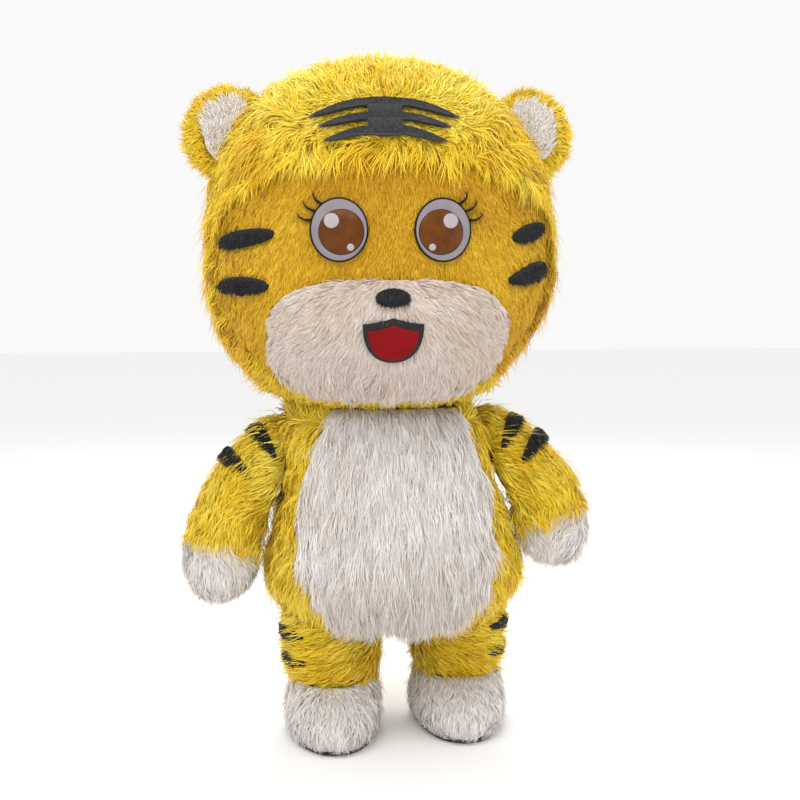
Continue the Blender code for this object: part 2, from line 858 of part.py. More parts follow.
def build_nose_and_mouth():
    base = nearest_of(["muzzle_left", "muzzle_right"])
    place = front_place(muzzle_depth)
    centre = (HEAD_CENTRE_X, NOSE_HEIGHT)
    outline = oval(centre, NOSE_HALF_WIDTH, NOSE_HALF_HEIGHT, NOSE_HALF_HEIGHT)
    middle = (HEAD_CENTRE_X, MOUTH_CENTRE)
    inside = mouth_outline(MOUTH_EDGE + SEAM)

    def nose(lift):
        return patch("nose", place, centre, outline, "black_pile", lift, crown=NOSE_PAD)

    def mouth(lift):
        return patch("mouth", place, middle, inside, "red_cloth", lift)

    def edge(lift):
        outer, inner = [], []
        for inset in (0.0, MOUTH_EDGE / 2, MOUTH_EDGE):
            placed = [place(x, z) for x, z in mouth_outline(inset)]
            outer.append([point + (lift + TRIM) * normal for point, normal in placed])
            inner.append([point + lift * normal for point, normal in placed])
        return wall_between("mouth_edge", outer, inner, "black_pile", wrap=True)

    for make in (nose, mouth, edge):
        seated(make, base)
    bpy.data.objects.remove(base, do_unlink=True)


def build_cheek_stripes():
    for name, _ in SIDES:
        face = bpy.data.objects["face_" + name]
        for label, degrees, height, half_length, rise in CHEEK_STRIPES[name]:
            centre = (math.radians(degrees), HEAD.angle_at(height))
            outline = stripe_outline(
                HEAD, centre, half_length, CHEEK_HALF_WIDTH, rise, CHEEK_TAPER
            )
            place = on_form(HEAD, SHORT_PILE_STEP)

            def stripe(lift, label=f"cheek_stripe_{name}_{label}", centre=centre, outline=outline):
                return patch(label, place, centre, outline, "black_pile", lift)

            seated(stripe, face)


def brow_outline():
    """The mark's whole outline, down its left side and up its right."""
    half = [(0.0, BROW_BARS[0][2] + BROW_CROWN)]
    for tip_out, tip_height, top, bottom in BROW_BARS:
        upper, lower = [], []
        for k in range(BROW_STEPS):
            share = k / BROW_STEPS
            x = BROW_STEM_HALF_WIDTH + share * (tip_out - BROW_STEM_HALF_WIDTH)
            height = top + (tip_height - top) * share**BROW_CURVE
            upper.append((x, height))
            lower.append((x, height - (top - bottom) * (1 - share**BROW_FULLNESS)))
        half += upper + [(tip_out, tip_height)] + lower[::-1]
    half.append((0.0, BROW_BARS[-1][3] - BROW_FOOT))
    mirrored = [(-x, z) for x, z in reversed(half[1:-1])]
    return [(HEAD_CENTRE_X + BROW_SHIFT + x, z) for x, z in half + mirrored]


def build_brow_mark():
    place = front_place(HEAD.front)
    outline = brow_outline()

    def mark(lift):
        return plate("brow_mark", place, outline, "black_pile", lift)

    seated(mark, bpy.data.objects["head_back"])


def build_ears():
    """Hollow round cushions, open where they are sewn to the head."""
    pole = math.pi / 2 - POLE_ANGLE
    rows = angles(-pole, pole, EAR_ROWS)
    around = turn(EAR_SIDES)
    solid = block("head_block", HEAD, turn(HEAD_SIDES), head_rows()[:-1] + [pole], SEAM)
    for name, side in SIDES:
        centre = (HEAD_CENTRE_X + side * EAR_OUT, EAR_BACK, EAR_HEIGHT)
        reaches = (EAR_RADIUS, EAR_RADIUS)
        form = RoundedBox(centre, EAR_RADIUS, EAR_HALF_THICKNESS, reaches, EAR_POWERS)
        hollow = block("ear_hollow", form, around, rows, -EAR_WALL)
        middle = (HEAD_CENTRE_X + side * EAR_FRONT_OUT, EAR_HEIGHT)
        sizes = (EAR_FRONT_HALF_WIDTH, EAR_FRONT_HALF_HEIGHT, EAR_FRONT_HALF_HEIGHT)
        sizes += (EAR_FRONT_POWER, EAR_FRONT_POINTS)
        keep = prism("ear_keep", oval(middle, *sizes, -SEAM / 2), back=EAR_BACK)
        cut = prism("ear_cut", oval(middle, *sizes, SEAM / 2), back=EAR_BACK)
        for label, tool, how, material in (
            ("ear_", cut, "DIFFERENCE", "yellow_long_pile"),
            ("ear_front_", keep, "INTERSECT", "white_pile"),
        ):
            piece = block(label + name, form, around, rows, 0.0, material)
            combine(piece, [solid, hollow], "DIFFERENCE")
            combine(piece, [tool], how)


def belly_outline(grow):
    """The belly panel seen from the front, open at the neck."""
    count = 2 * len(BELLY_HALF_WIDTHS) - 1
    rows = [smooth_row(BELLY_HALF_WIDTHS, k / 2) for k in range(count)]
    left = [(half + grow, height) for height, half in rows]
    right = [(-half, height) for half, height in reversed(left)]
    foot = rows[0][0] - BELLY_FOOT - grow
    return left + right + [(0.0, foot)]


def limb_blocks(name):
    """The hollows of one leg and one arm, which open the body's wall where they join it."""
    around = turn(LIMB_SIDES)
    leg_rows = angles(*LEG_BLOCK_SECTIONS, 4)
    arm_rows = angles(0.0, SHOULDER_BLOCK_SECTION, 5)
    return [
        block("leg_block", LEGS[name], around, leg_rows, -LONG_PILE_WALL),
        block("arm_block", ARMS[name], around, arm_rows, -LONG_PILE_WALL),
    ]


def zip_slit():
    """The cutter for the slit down the back; it leans with the body."""
    zip_rows = angles(TORSO.row_at(ZIP_BOTTOM), TORSO.row_at(ZIP_TOP), ZIP_STEPS)
    line = [TORSO.middle(v) for v in zip_rows]
    slit = [(point.x + ZIP_HALF_WIDTH, point.z) for point in line]
    slit += [(point.x - ZIP_HALF_WIDTH, point.z) for point in reversed(line)]
    return prism("zip_cut", slit, *ZIP_PRISM)


def build_body():
    belly_cut = prism("belly_cut", belly_outline(SEAM / 2), back=BELLY_PRISM_BACK)
    belly_keep = prism("belly_keep", belly_outline(-SEAM / 2), back=BELLY_PRISM_BACK)
    zip_cut = zip_slit()
    inlet_cut = helper(cylinder("inlet_cut", INLET_RADIUS + SEAM, LONG_CUT, INLET_SIDES))
    inlet_cut.matrix_world = inlet_frame()
    rows = angles(0.0, len(TORSO_SECTIONS) - 1.0, len(TORSO_SECTIONS) - 1)
    for name, side in SIDES:
        us = [side * angle for angle in angles(0.0, math.pi, TORSO_HALF_SIDES)]
        top = len(rows) - 1
        panel = cloth(
            "torso_" + name, TORSO, us, rows, "yellow_long_pile", side=side, level_rows=(top,)
        )
        cutters = [belly_cut, zip_cut] + limb_blocks(name)
        if name == "left":
            cutters.append(inlet_cut)
        combine(panel, cutters, "DIFFERENCE")
    us = angles(-BELLY_ANGLE_SIDE, BELLY_ANGLE_SIDE, BELLY_COLUMNS)
    belly = cloth("belly", TORSO, us, rows[1:], "white_pile", level_rows=(len(rows) - 2,))
    combine(belly, [belly_keep], "INTERSECT")


def inlet_frame():
    """The inlet's place: its z axis leads out of the back."""
    point, normal = TORSO.place(INLET_ANGLE, INLET_SECTION)
    turned = normal.to_track_quat("Z", "Y").to_matrix().to_4x4()
    return Matrix.Translation(point - INLET_SINK * normal) @ turned


def box(name, centre, half_sizes, material=None):
    bm = bmesh.new()
    bmesh.ops.create_cube(bm, size=2.0)
    bmesh.ops.scale(bm, vec=half_sizes, verts=bm.verts)
    bmesh.ops.translate(bm, vec=centre, verts=bm.verts)
    return mesh_object(name, bm, material)


def cylinder(name, radius, depth, count, material=None, axis="Z"):
    bm = bmesh.new()
    bmesh.ops.create_cone(
        bm, cap_ends=True, segments=count, radius1=radius, radius2=radius, depth=depth
    )
    if axis == "X":
        bmesh.ops.rotate(bm, verts=bm.verts, matrix=Matrix.Rotation(math.pi / 2, 3, "Y"))
    return mesh_object(name, bm, material)


def build_inlet():
    """A round rim with bars across a fine mesh screen, in the back panel."""
    rim = cylinder("air_inlet", INLET_RADIUS, INLET_DEPTH, INLET_SIDES, "grey_plastic")
    bore = helper(cylinder("bore", INLET_RADIUS - INLET_RIM, LONG_CUT, INLET_SIDES))
    combine(rim, [bore], "DIFFERENCE")
    bars = []
    reach = INLET_RADIUS - INLET_RIM
    for k in range(INLET_BARS):
        level = reach * (2 * (k + 1) / (INLET_BARS + 1) - 1)
        half = math.sqrt(reach**2 - level**2) + INLET_RIM / 2
        sizes = (half, INLET_BAR / 2, INLET_DEPTH / 3)
        bars.append(helper(box("bar", (0, level, 0), sizes)))
    screen = helper(cylinder("screen", reach + INLET_RIM / 2, INLET_SCREEN, INLET_SIDES))
    screen.data.transform(Matrix.Translation((0, 0, -INLET_DEPTH / 3)))
    combine(rim, [screen] + bars, "UNION")
    rim.matrix_world = inlet_frame()


def build_zip():
    """The tape with its closed chain, at the backing's depth in the slit down the back."""
    rows = angles(TORSO.row_at(ZIP_BOTTOM + SEAM), TORSO.row_at(ZIP_TOP - SEAM), ZIP_STEPS)
    half = ZIP_HALF_WIDTH - TAPE_CLEARANCE
    profile = (
        (-half, 0.0),
        (-CHAIN_HALF_WIDTH, 0.0),
        (-CHAIN_HALF_WIDTH, CHAIN_HEIGHT),
        (CHAIN_HALF_WIDTH, CHAIN_HEIGHT),
        (CHAIN_HALF_WIDTH, 0.0),
        (half, 0.0),
    )
    outer, inner = [], []
    for v in rows:
        point, normal = TORSO.place(math.pi, v)
        base = point - ZIP_DEPTH * normal
        across = [base + Vector((x, 0, 0)) for x, _ in profile]
        outer.append([spot + rise * normal for spot, (_, rise) in zip(across, profile)])
        inner.append([spot - TAPE_THICKNESS * normal for spot in across])
    wall_between("zip_tape", outer, inner, "zip_tape")


def zip_frame():
    """The slider's place on the chain: y leads out of the back and z up along the chain."""
    row = TORSO.row_at(SLIDER_HEIGHT)
    point, normal = TORSO.place(math.pi, row)
    base = point - (ZIP_DEPTH - CHAIN_HEIGHT - SEAM) * normal
    lean = math.atan2(normal.z, normal.y)
    return Matrix.Translation(base) @ Matrix.Rotation(lean, 4, "X")


def build_slider():
    """The slider on the chain, with a bar between two cheeks, and the pull that hangs on the bar."""
    width, height, length = SLIDER_BODY
    body = box("zip_slider", (0, height / 2, 0), (width / 2, height / 2, length / 2), "zip_metal")
    bar_rise = height + EYE_RADIUS + 2 * SEAM
    cheek_x = PULL_WIDTH / 2 + SEAM + CHEEK_PLATE / 2
    cheek_top = bar_rise + BAR_RADIUS + CHEEK_PLATE / 2
    parts = []
    for side in (1, -1):
        centre = (side * cheek_x, cheek_top / 2, 0)
        sizes = (CHEEK_PLATE / 2, cheek_top / 2, EYE_RADIUS)
        parts.append(helper(box("cheek", centre, sizes)))
    bar = cylinder("bar", BAR_RADIUS, 2 * cheek_x, BAR_SIDES, axis="X")
    bar.data.transform(Matrix.Translation((0, bar_rise, 0)))
    parts.append(helper(bar))
    combine(body, parts, "UNION")
    pull = cylinder("zip_pull", EYE_RADIUS, PULL_WIDTH, EYE_SIDES, "zip_metal", "X")
    blade_centre = (0, 0, -PULL_LENGTH / 2 - EYE_BORE)
    blade_sizes = (PULL_WIDTH / 2, PULL_THICKNESS / 2, PULL_LENGTH / 2)
    blade = helper(box("blade", blade_centre, blade_sizes))
    combine(pull, [blade], "UNION")
    eye = helper(cylinder("eye", EYE_BORE, LONG_CUT, EYE_SIDES, axis="X"))
    combine(pull, [eye], "DIFFERENCE")
    body.matrix_world = zip_frame()
    pull.matrix_world = zip_frame() @ Matrix.Translation((0, bar_rise, 0))


def build_torso_block():
    """The body's whole form, which trims the roots of arms and legs."""
    last = len(TORSO_SECTIONS) - 1.0
    rows = [CROTCH_OPEN_ROW] + angles(1.0, last, len(TORSO_SECTIONS) - 2)
    return block("torso_block", TORSO, turn(2 * TORSO_HALF_SIDES), rows, SEAM)


def form_stripe(base, form, centre, sizes, name):
    """A black stripe that lies on a sleeve or a leg."""
    outline = stripe_outline(form, centre, *sizes)
    place = on_form(form)

    def stripe(lift):
        return patch(name, place, centre, outline, "black_pile", lift)

    seated(stripe, base)


def build_arms(torso_block):
    sizes = (ARM_STRIPE_HALF_LENGTH, ARM_STRIPE_HALF_WIDTH)
    for name, _ in SIDES:
        form = ARMS[name]
        gap = SEAM / 2 / form.spans(0.0, WRIST_SECTION)[1]
        sleeve_rows = angles(0.0, WRIST_SECTION - gap, 6)
        around = turn(LIMB_SIDES)
        sleeve = cloth("sleeve_" + name, form, around, sleeve_rows, "yellow_long_pile", wrap=True)
        combine(sleeve, [torso_block], "DIFFERENCE")
        paw_rows = angles(WRIST_SECTION + gap, PALM_SECTION, 2)
        paw_rows += angles(KNUCKLE_SECTION, len(ARM_SECTIONS) - 1.0, 3)
        cloth("paw_" + name, form, around, paw_rows, "white_pile", wrap=True)
        for label, row in zip(("upper", "lower"), ARM_STRIPE_SECTIONS[name]):
            place = (ARM_STRIPE_ANGLE, row)
            form_stripe(sleeve, form, place, sizes, f"arm_stripe_{name}_{label}")


def build_legs(torso_block):
    sizes = (LEG_STRIPE_HALF_LENGTH, LEG_STRIPE_HALF_WIDTH)
    for name, side in SIDES:
        form = LEGS[name]
        rows = angles(0.0, LEG_CUT_TOP, 4)
        around = turn(LIMB_SIDES)
        leg = cloth(
            "leg_" + name, form, around, rows, "yellow_long_pile", level_rows=(0,), wrap=True
        )
        combine(leg, [torso_block], "DIFFERENCE")
        for label, row in zip(("upper", "lower"), LEG_STRIPE_HEIGHTS):
            place = (side * LEG_STRIPE_ANGLE, row)
            form_stripe(leg, form, place, sizes, f"leg_stripe_{name}_{label}")
        foot = FEET[name]
        last = len(FOOT_SECTIONS) - 1
        rows = angles(0.0, float(last), last)
        around = turn(FOOT_SIDES)
        cloth(
            "foot_" + name, foot, around, rows, "white_pile", level_rows=(0, last), wrap=True
        )
        sole("sole_" + name, foot)


def sole(name, form):
    """A flat sole under the whole foot."""
    bm = bmesh.new()
    rim = [form.point(u, 0.0) for u in turn(FOOT_SIDES)]
    top = [bm.verts.new((point.x, point.y, SOLE_THICKNESS - SEAM)) for point in rim]
    bottom = [bm.verts.new((point.x, point.y, 0.0)) for point in rim]
    for k in range(len(rim)):
        after = (k + 1) % len(rim)
        bm.faces.new((top[k], top[after], bottom[after], bottom[k]))
    bm.faces.new(top)
    bm.faces.new(bottom)
    mesh_object(name, bm, "sole_cloth")


def remove_helpers():
    for obj in [obj for obj in bpy.data.objects if obj.hide_render]:
        bpy.data.objects.remove(obj, do_unlink=True)


def centre_on_floor():
    """Moves everything so that the middle of the whole box stands over the origin."""
    bpy.context.view_layer.update()
    corners = [obj.matrix_world @ vert.co for obj in bpy.data.objects for vert in obj.data.vertices]
    shift = Vector((0, 0, 0))
    for axis in (0, 1):
        values = [corner[axis] for corner in corners]
        shift[axis] = -(min(values) + max(values)) / 2
    for obj in bpy.data.objects:
        obj.matrix_world = Matrix.Translation(shift) @ obj.matrix_world
    return shift


clear_scene()
build_head()
build_eyes()
build_nose_and_mouth()
build_cheek_stripes()
build_brow_mark()
build_ears()
build_body()
build_inlet()
build_zip()
build_slider()
TORSO_BLOCK = build_torso_block()
build_arms(TORSO_BLOCK)
build_legs(TORSO_BLOCK)
remove_helpers()
ORIGIN_SHIFT = centre_on_floor()
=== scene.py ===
# %% [markdown]
# # An inflatable plush tiger suit
# The suit is sewn from long plush cloth and stands filled with air. Its solid pieces come from the
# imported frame, so this script only dresses them. It lays a cloth shell under each panel, grows the pile
# on it, and adds the eyes, mouth, stripes and light.

# %% Frame
import math

import bmesh
import bpy
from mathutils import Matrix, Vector
from mathutils.bvhtree import BVHTree
from mathutils.geometry import intersect_point_line


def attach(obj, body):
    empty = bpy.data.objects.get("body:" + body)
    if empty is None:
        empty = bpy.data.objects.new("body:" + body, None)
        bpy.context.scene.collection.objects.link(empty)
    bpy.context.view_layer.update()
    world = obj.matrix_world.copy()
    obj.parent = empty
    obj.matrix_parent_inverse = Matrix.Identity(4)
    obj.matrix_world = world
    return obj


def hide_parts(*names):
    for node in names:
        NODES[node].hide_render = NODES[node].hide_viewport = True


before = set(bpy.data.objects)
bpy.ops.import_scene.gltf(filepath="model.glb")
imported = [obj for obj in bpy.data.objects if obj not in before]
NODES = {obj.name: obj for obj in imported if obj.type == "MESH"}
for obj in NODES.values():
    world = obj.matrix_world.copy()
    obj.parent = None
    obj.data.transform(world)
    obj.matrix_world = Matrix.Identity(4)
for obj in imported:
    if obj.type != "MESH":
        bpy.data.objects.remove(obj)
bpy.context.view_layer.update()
SUIT = "suit"

# %% [markdown]
# ## The camera
# The camera stands four metres away, a little to the wearer's right and at face height, and looks
# slightly down. It is placed first. The lens is worked out from a focal length in pixels, for a picture
# 800 pixels wide.

# %% Camera
PICTURE = 800
FOCAL_PIXELS = 1332
SENSOR = 36.0
CAMERA_DISTANCE = 4.0
CAMERA_HEIGHT = 1.45
CAMERA_TURN = math.radians(4.9)
CAMERA_TILT = math.radians(-6.48)
CAMERA_SIDE = 0.030
BODY_MIDDLE = Vector((0.0113, 0.0304, 0.0))


def place_camera():
    forward = Vector((math.sin(CAMERA_TURN), math.cos(CAMERA_TURN), 0))
    across = Vector((forward.y, -forward.x, 0))
    camera = bpy.data.cameras.new("camera")
    camera.sensor_width = SENSOR
    camera.lens = SENSOR * FOCAL_PIXELS / PICTURE
    obj = bpy.data.objects.new("camera", camera)
    obj.location = BODY_MIDDLE - CAMERA_DISTANCE * forward + CAMERA_SIDE * across
    obj.location.z = CAMERA_HEIGHT
    obj.rotation_euler = (math.pi / 2 + CAMERA_TILT, 0, -CAMERA_TURN)
    bpy.context.collection.objects.link(obj)
    bpy.context.scene.camera = obj
    print("lens", round(camera.lens, 2), "mm")


place_camera()

# %% [markdown]
# ## Mesh helpers
# Each piece is built as a bmesh, which is easy to edit point by point. These helpers turn it into a mesh
# and an object in the scene.

# %% Mesh helpers
def to_mesh(name, bm, smooth=False):
    mesh = bpy.data.meshes.new(name)
    bm.to_mesh(mesh)
    bm.free()
    if smooth:
        for polygon in mesh.polygons:
            polygon.use_smooth = True
    return mesh


def show(name, mesh, material=None):
    obj = bpy.data.objects.new(name, mesh)
    if material:
        mesh.materials.append(material)
    bpy.context.collection.objects.link(obj)
    return obj


# %% [markdown]
# ## Light and floor
# The suit was lit by soft daylight. One large lamp stands above the camera, a second fills the wearer's
# left side, and a third behind lifts the pile's edge from the background. The floor is a plain pale
# plane, and the world gives an even white light from all round.

# %% Studio
FLOOR_SIZE = 30.0
LAMPS = (
    # name, place, aim height, size, watts
    ("key", (-1.3, -2.6, 4.4), 1.2, 3.6, 92.0),
    ("fill", (3.2, -2.6, 2.2), 0.9, 3.0, 20.0),
    ("rim", (0.4, 3.2, 4.2), 1.3, 2.4, 110.0),
)
WORLD_STRENGTH = 0.95
FLOOR_COLOUR = (0.93, 0.93, 0.93, 1.0)


def new_material(name, looks):
    """A material, and its shader with these inputs set."""
    material = bpy.data.materials.new(name)
    material.use_nodes = True
    shader = material.node_tree.nodes["Principled BSDF"]
    for socket, value in looks.items():
        shader.inputs[socket].default_value = value
    return material, shader


def add_studio():
    world = bpy.data.worlds.new("studio")
    world.use_nodes = True
    world.node_tree.nodes["Background"].inputs["Color"].default_value = (1.0, 1.0, 1.0, 1.0)
    world.node_tree.nodes["Background"].inputs["Strength"].default_value = WORLD_STRENGTH
    bpy.context.scene.world = world
    for name, place, aim_height, size, watts in LAMPS:
        light = bpy.data.lights.new(name, "AREA")
        light.energy = watts
        light.size = size
        lamp = show(name, light)
        lamp.location = place
        aim = Vector((0, 0, aim_height)) - lamp.location
        lamp.rotation_euler = aim.to_track_quat("-Z", "Y").to_euler()
    bm = bmesh.new()
    bmesh.ops.create_grid(bm, x_segments=1, y_segments=1, size=FLOOR_SIZE / 2)
    paint, _ = new_material("floor", {"Base Color": FLOOR_COLOUR, "Roughness": 0.9})
    show("floor", to_mesh("floor", bm), paint)


add_studio()

# %% [markdown]
# ## A short way to write node trees
# Both the pile and the materials are node trees. Written one node at a time they are long and hard to
# read, so `Field` lets a socket take part in a sum: `a * b + c` makes the nodes for that formula.
# `Tree` adds nodes and links by socket name.

# %% Node trees as formulas
class Field:
    """An output socket that can be added, subtracted and multiplied like a number."""

    def __init__(self, tree, socket):
        self.tree = tree
        self.socket = socket
        self.is_vector = socket.type == "VECTOR"

    def combine(self, operation, first, second):
        vectors = [isinstance(v, tuple) or getattr(v, "is_vector", False) for v in (first, second)]
        if all(vectors):
            return self.tree.vector(operation, first, second)
        if any(vectors):
            if vectors[1]:
                first, second = second, first
            return self.tree.scale(first, second)
        return self.tree.number(operation, first, second)

    def __add__(self, other):
        return self.combine("ADD", self, other)

    def __sub__(self, other):
        return self.combine("SUBTRACT", self, other)

    def __mul__(self, other):
        return self.combine("MULTIPLY", self, other)

    __rmul__ = __mul__


class Tree:
    """A node tree, with helpers that add a node and link its sockets by name."""

    def __init__(self, owner):
        self.nodes = owner.nodes
        self.links = owner.links

    def add(self, kind, inputs=(), **settings):
        node = self.nodes.new(kind)
        for name, value in settings.items():
            setattr(node, name, value)
        for name, value in dict(inputs).items():
            if isinstance(name, int):
                socket = node.inputs[name]
            else:
                socket = next(s for s in node.inputs if s.name == name and s.enabled)
            self.put(value, socket)
        return node

    def put(self, value, socket):
        if isinstance(value, Field):
            self.links.new(value.socket, socket)
        elif isinstance(value, bpy.types.NodeSocket):
            self.links.new(value, socket)
        else:
            socket.default_value = value

    def out(self, node, name):
        return Field(self, next(s for s in node.outputs if s.name == name and s.enabled))

    def number(self, operation, first, second=0.0):
        node = self.add("ShaderNodeMath", {0: first, 1: second}, operation=operation)
        return Field(self, node.outputs[0])

    def vector(self, operation, first, second=(0.0, 0.0, 0.0)):
        node = self.add("ShaderNodeVectorMath", {0: first, 1: second}, operation=operation)
        return self.out(node, "Value" if operation == "DOT_PRODUCT" else "Vector")

    def scale(self, vector, factor):
        node = self.add("ShaderNodeVectorMath", {"Vector": vector, "Scale": factor}, operation="SCALE")
        return self.out(node, "Vector")

    def noise(self, place, size, detail=1.0, roughness=0.5):
        inputs = {"Vector": place, "Scale": 1.0 / size, "Detail": detail, "Roughness": roughness}
        return self.add("ShaderNodeTexNoise", inputs).outputs[0]

    def ramp(self, value, stops):
        """Colour stops of (place, (r, g, b))."""
        node = self.add("ShaderNodeValToRGB", {"Fac": value})
        elements = node.color_ramp.elements
        while len(elements) < len(stops):
            elements.new(0.5)
        for element, (place, colour) in zip(elements, stops):
            element.position = place
            element.color = (*colour, 1.0)
        return node.outputs["Color"]


# %% [markdown]
# ## Pile colours
# A plush strand is pale at its tip and darker at its root, where less light reaches, and no two strands
# are the same. Each strand carries two numbers as its UV map: its own tint across, and how far along it a
# point lies up. The finish reads only these two, so it stays with the strand whatever the suit does.

# %% Pile finishes
def rgb(red, green, blue):
    """A colour of 0 to 255 as the eye sees it, in the linear numbers that shaders use."""
    return tuple((value / 255) ** 2.2 for value in (red, green, blue))


PILES = {
    # name: colours from the deepest tint to the palest, root shade, roughness, sheen
    "yellow_long_pile": ((rgb(222, 166, 18), rgb(240, 206, 34), rgb(250, 234, 100)), 0.72, 0.55, 0.20),
    "yellow_short_pile": ((rgb(204, 152, 22), rgb(224, 178, 32), rgb(240, 204, 52)), 0.84, 0.65, 0.15),
    "white_pile": ((rgb(218, 208, 199), rgb(234, 227, 222), rgb(245, 241, 239)), 0.96, 0.55, 0.20),
    "cream_pile": ((rgb(206, 188, 173), rgb(220, 204, 191), rgb(232, 220, 210)), 0.92, 0.60, 0.20),
    "black_pile": ((rgb(9, 9, 11), rgb(16, 16, 19), rgb(34, 34, 39)), 0.80, 0.55, 0.10),
}
TINT_STOPS = (0.10, 0.50, 0.90)
ROOT_STOPS = (0.05, 0.55)
WHITE = (1.0, 1.0, 1.0)
BAKE_MAP = "OFBake"


def pile_material(name):
    colours, root_shade, roughness, sheen = PILES[name]
    material, shader = new_material(name, {
        "Roughness": roughness, "Specular IOR Level": 0.35, "Sheen Weight": sheen,
        "Sheen Roughness": 0.4})
    tree = Tree(material.node_tree)
    uv = tree.add("ShaderNodeUVMap", uv_map=BAKE_MAP)
    tint_place, root_place = tree.add("ShaderNodeSeparateXYZ", {0: uv.outputs[0]}).outputs[:2]
    tint = tree.ramp(tint_place, list(zip(TINT_STOPS, colours)))
    root = tree.ramp(root_place, list(zip(ROOT_STOPS, ((root_shade,) * 3, WHITE))))
    mixed = tree.add("ShaderNodeMix", {0: 1.0}, data_type="RGBA", blend_type="MULTIPLY")
    tree.put(tint, mixed.inputs[6])
    tree.put(root, mixed.inputs[7])
    tree.put(mixed.outputs[2], shader.inputs["Base Color"])
    return material


PILE_MATERIALS = {name: pile_material(name) for name in PILES}

# %% [markdown]
# ## Cloth finishes
# Every other finish is made one way. One noise varies the colour a little, and another gives the surface
# a fine relief. The knitted backing under the pile is the first. It takes the pile's own deep colours,
# darkened by the root shade, so that it doesn't show between the strands and the gaps read as painted
# shade.

# %% Backing
def grained_material(name, stops, colour_noise, relief, looks):
    """A finish whose colour follows a noise of (size, detail, roughness).

    The relief is (its own noise, strength, depth), or None on a smooth surface.
    """
    material, shader = new_material(name, looks)
    tree = Tree(material.node_tree)
    place = tree.add("ShaderNodeTexCoord").outputs["Object"]
    tree.put(tree.ramp(tree.noise(place, *colour_noise), stops), shader.inputs["Base Color"])
    if relief:
        relief_noise, strength, depth = relief
        height = tree.noise(place, *relief_noise)
        bump = tree.add("ShaderNodeBump", {"Strength": strength, "Distance": depth, "Height": height})
        tree.put(bump.outputs[0], shader.inputs["Normal"])
    return material


BACKING_GRAIN = (0.004, 3.0)


def backing_material(name):
    colours, root_shade = PILES[name][:2]
    # Painted shade: the backing's colours are the pile's tints darkened by the root shade.
    deep, mid = (tuple(root_shade * value for value in colour) for colour in colours[:2])
    return grained_material(name.replace("pile", "backing"), [(0.35, deep), (0.65, mid)], BACKING_GRAIN,
                            (BACKING_GRAIN, 0.5, 0.001), {"Roughness": 0.9})


BACKINGS = {name: backing_material(name) for name in PILES}

# %% [markdown]
# ## The strand
# One strand is a narrow tapered ribbon. Its mesh holds no real shape: each corner only says how far along
# the strand it lies and on which edge. The pile's tree bends every copy into place, which is cheaper than
# modelling thousands of curves.

# %% Strand templates
CURLED_STRAND = ((0.0, 1.0), (0.36, 0.95), (0.72, 0.62), (1.0, 0.0))
PLAIN_STRAND = ((0.0, 1.0), (0.5, 0.85), (1.0, 0.0))


def strand_template(name, rows):
    """A ribbon of (along, width) rows that ends in a point."""
    bm = bmesh.new()
    along = bm.verts.layers.float.new("along")
    across = bm.verts.layers.float.new("across")
    pairs = []
    for share, width in rows:
        pair = []
        for edge in ((-1, 1) if width else (0,)):
            vert = bm.verts.new((edge * width, share, 0))
            vert[along] = share
            vert[across] = edge * width
            pair.append(vert)
        pairs.append(pair)
    for low, high in zip(pairs, pairs[1:]):
        bm.faces.new(low + high[::-1])
    return bpy.data.objects.new(name, to_mesh(name, bm))


CURLED = strand_template("curled_strand", CURLED_STRAND)
PLAIN = strand_template("plain_strand", PLAIN_STRAND)

# %% [markdown]
# ## Growing the pile
# Plush is combed one way and lies over in soft locks. The tree scatters roots over the cloth shell,
# turns each strand towards the shell's comb direction, bends it over from its root to its tip, and draws
# neighbouring tips together into locks. Roots under a sewn-on piece are left out.

# %% Pile tree's inputs
PILE_INPUTS = (
    ("Strand", "NodeSocketObject"),
    ("Cover", "NodeSocketObject"),
    ("Density", "NodeSocketFloat"),
    ("Length", "NodeSocketFloat"),
    ("Width", "NodeSocketFloat"),
    ("Root Lean", "NodeSocketFloat"),
    ("Tip Lean", "NodeSocketFloat"),
    ("Swirl", "NodeSocketFloat"),
    ("Stray", "NodeSocketFloat"),
    ("Lock Size", "NodeSocketFloat"),
    ("Lock Pull", "NodeSocketFloat"),
    ("Droop", "NodeSocketFloat"),
    ("Tufts", "NodeSocketFloat"),
    ("Seed", "NodeSocketInt"),
    ("Finish", "NodeSocketMaterial"),
)
SPREADS = (
    # what differs from strand to strand, lowest, highest; the row's number is added to the seed
    ("stray", -1.0, 1.0),
    ("reach", 0.65, 1.15),
    ("tint", -0.18, 0.18),
    ("chance", 0.0, 1.0),
    ("upright", 0.1, 0.75),
    ("lean", -0.12, 0.12),
    ("twist", -0.8, 0.8),
    ("curl", -0.28, 0.28),
    ("half", 0.32, 0.66),
)
SWIRL_SIZE = 0.085
SWIRL_TURN = 4.0
PATCH_SIZE = 0.16
PATCH_TINT = 0.7
LOCK_TINT = 0.28
TINT_SHIFT = 0.01
TINT_LIMITS = (0.02, 0.98)
LOCK_LENGTH = 0.4
LOCK_LEAN = -0.35
UPRIGHT_OVER = 0.90
SLOPE_SHADE = 0.35
TWIST_SHADE = 0.20
PILE_FLOOR = 0.001


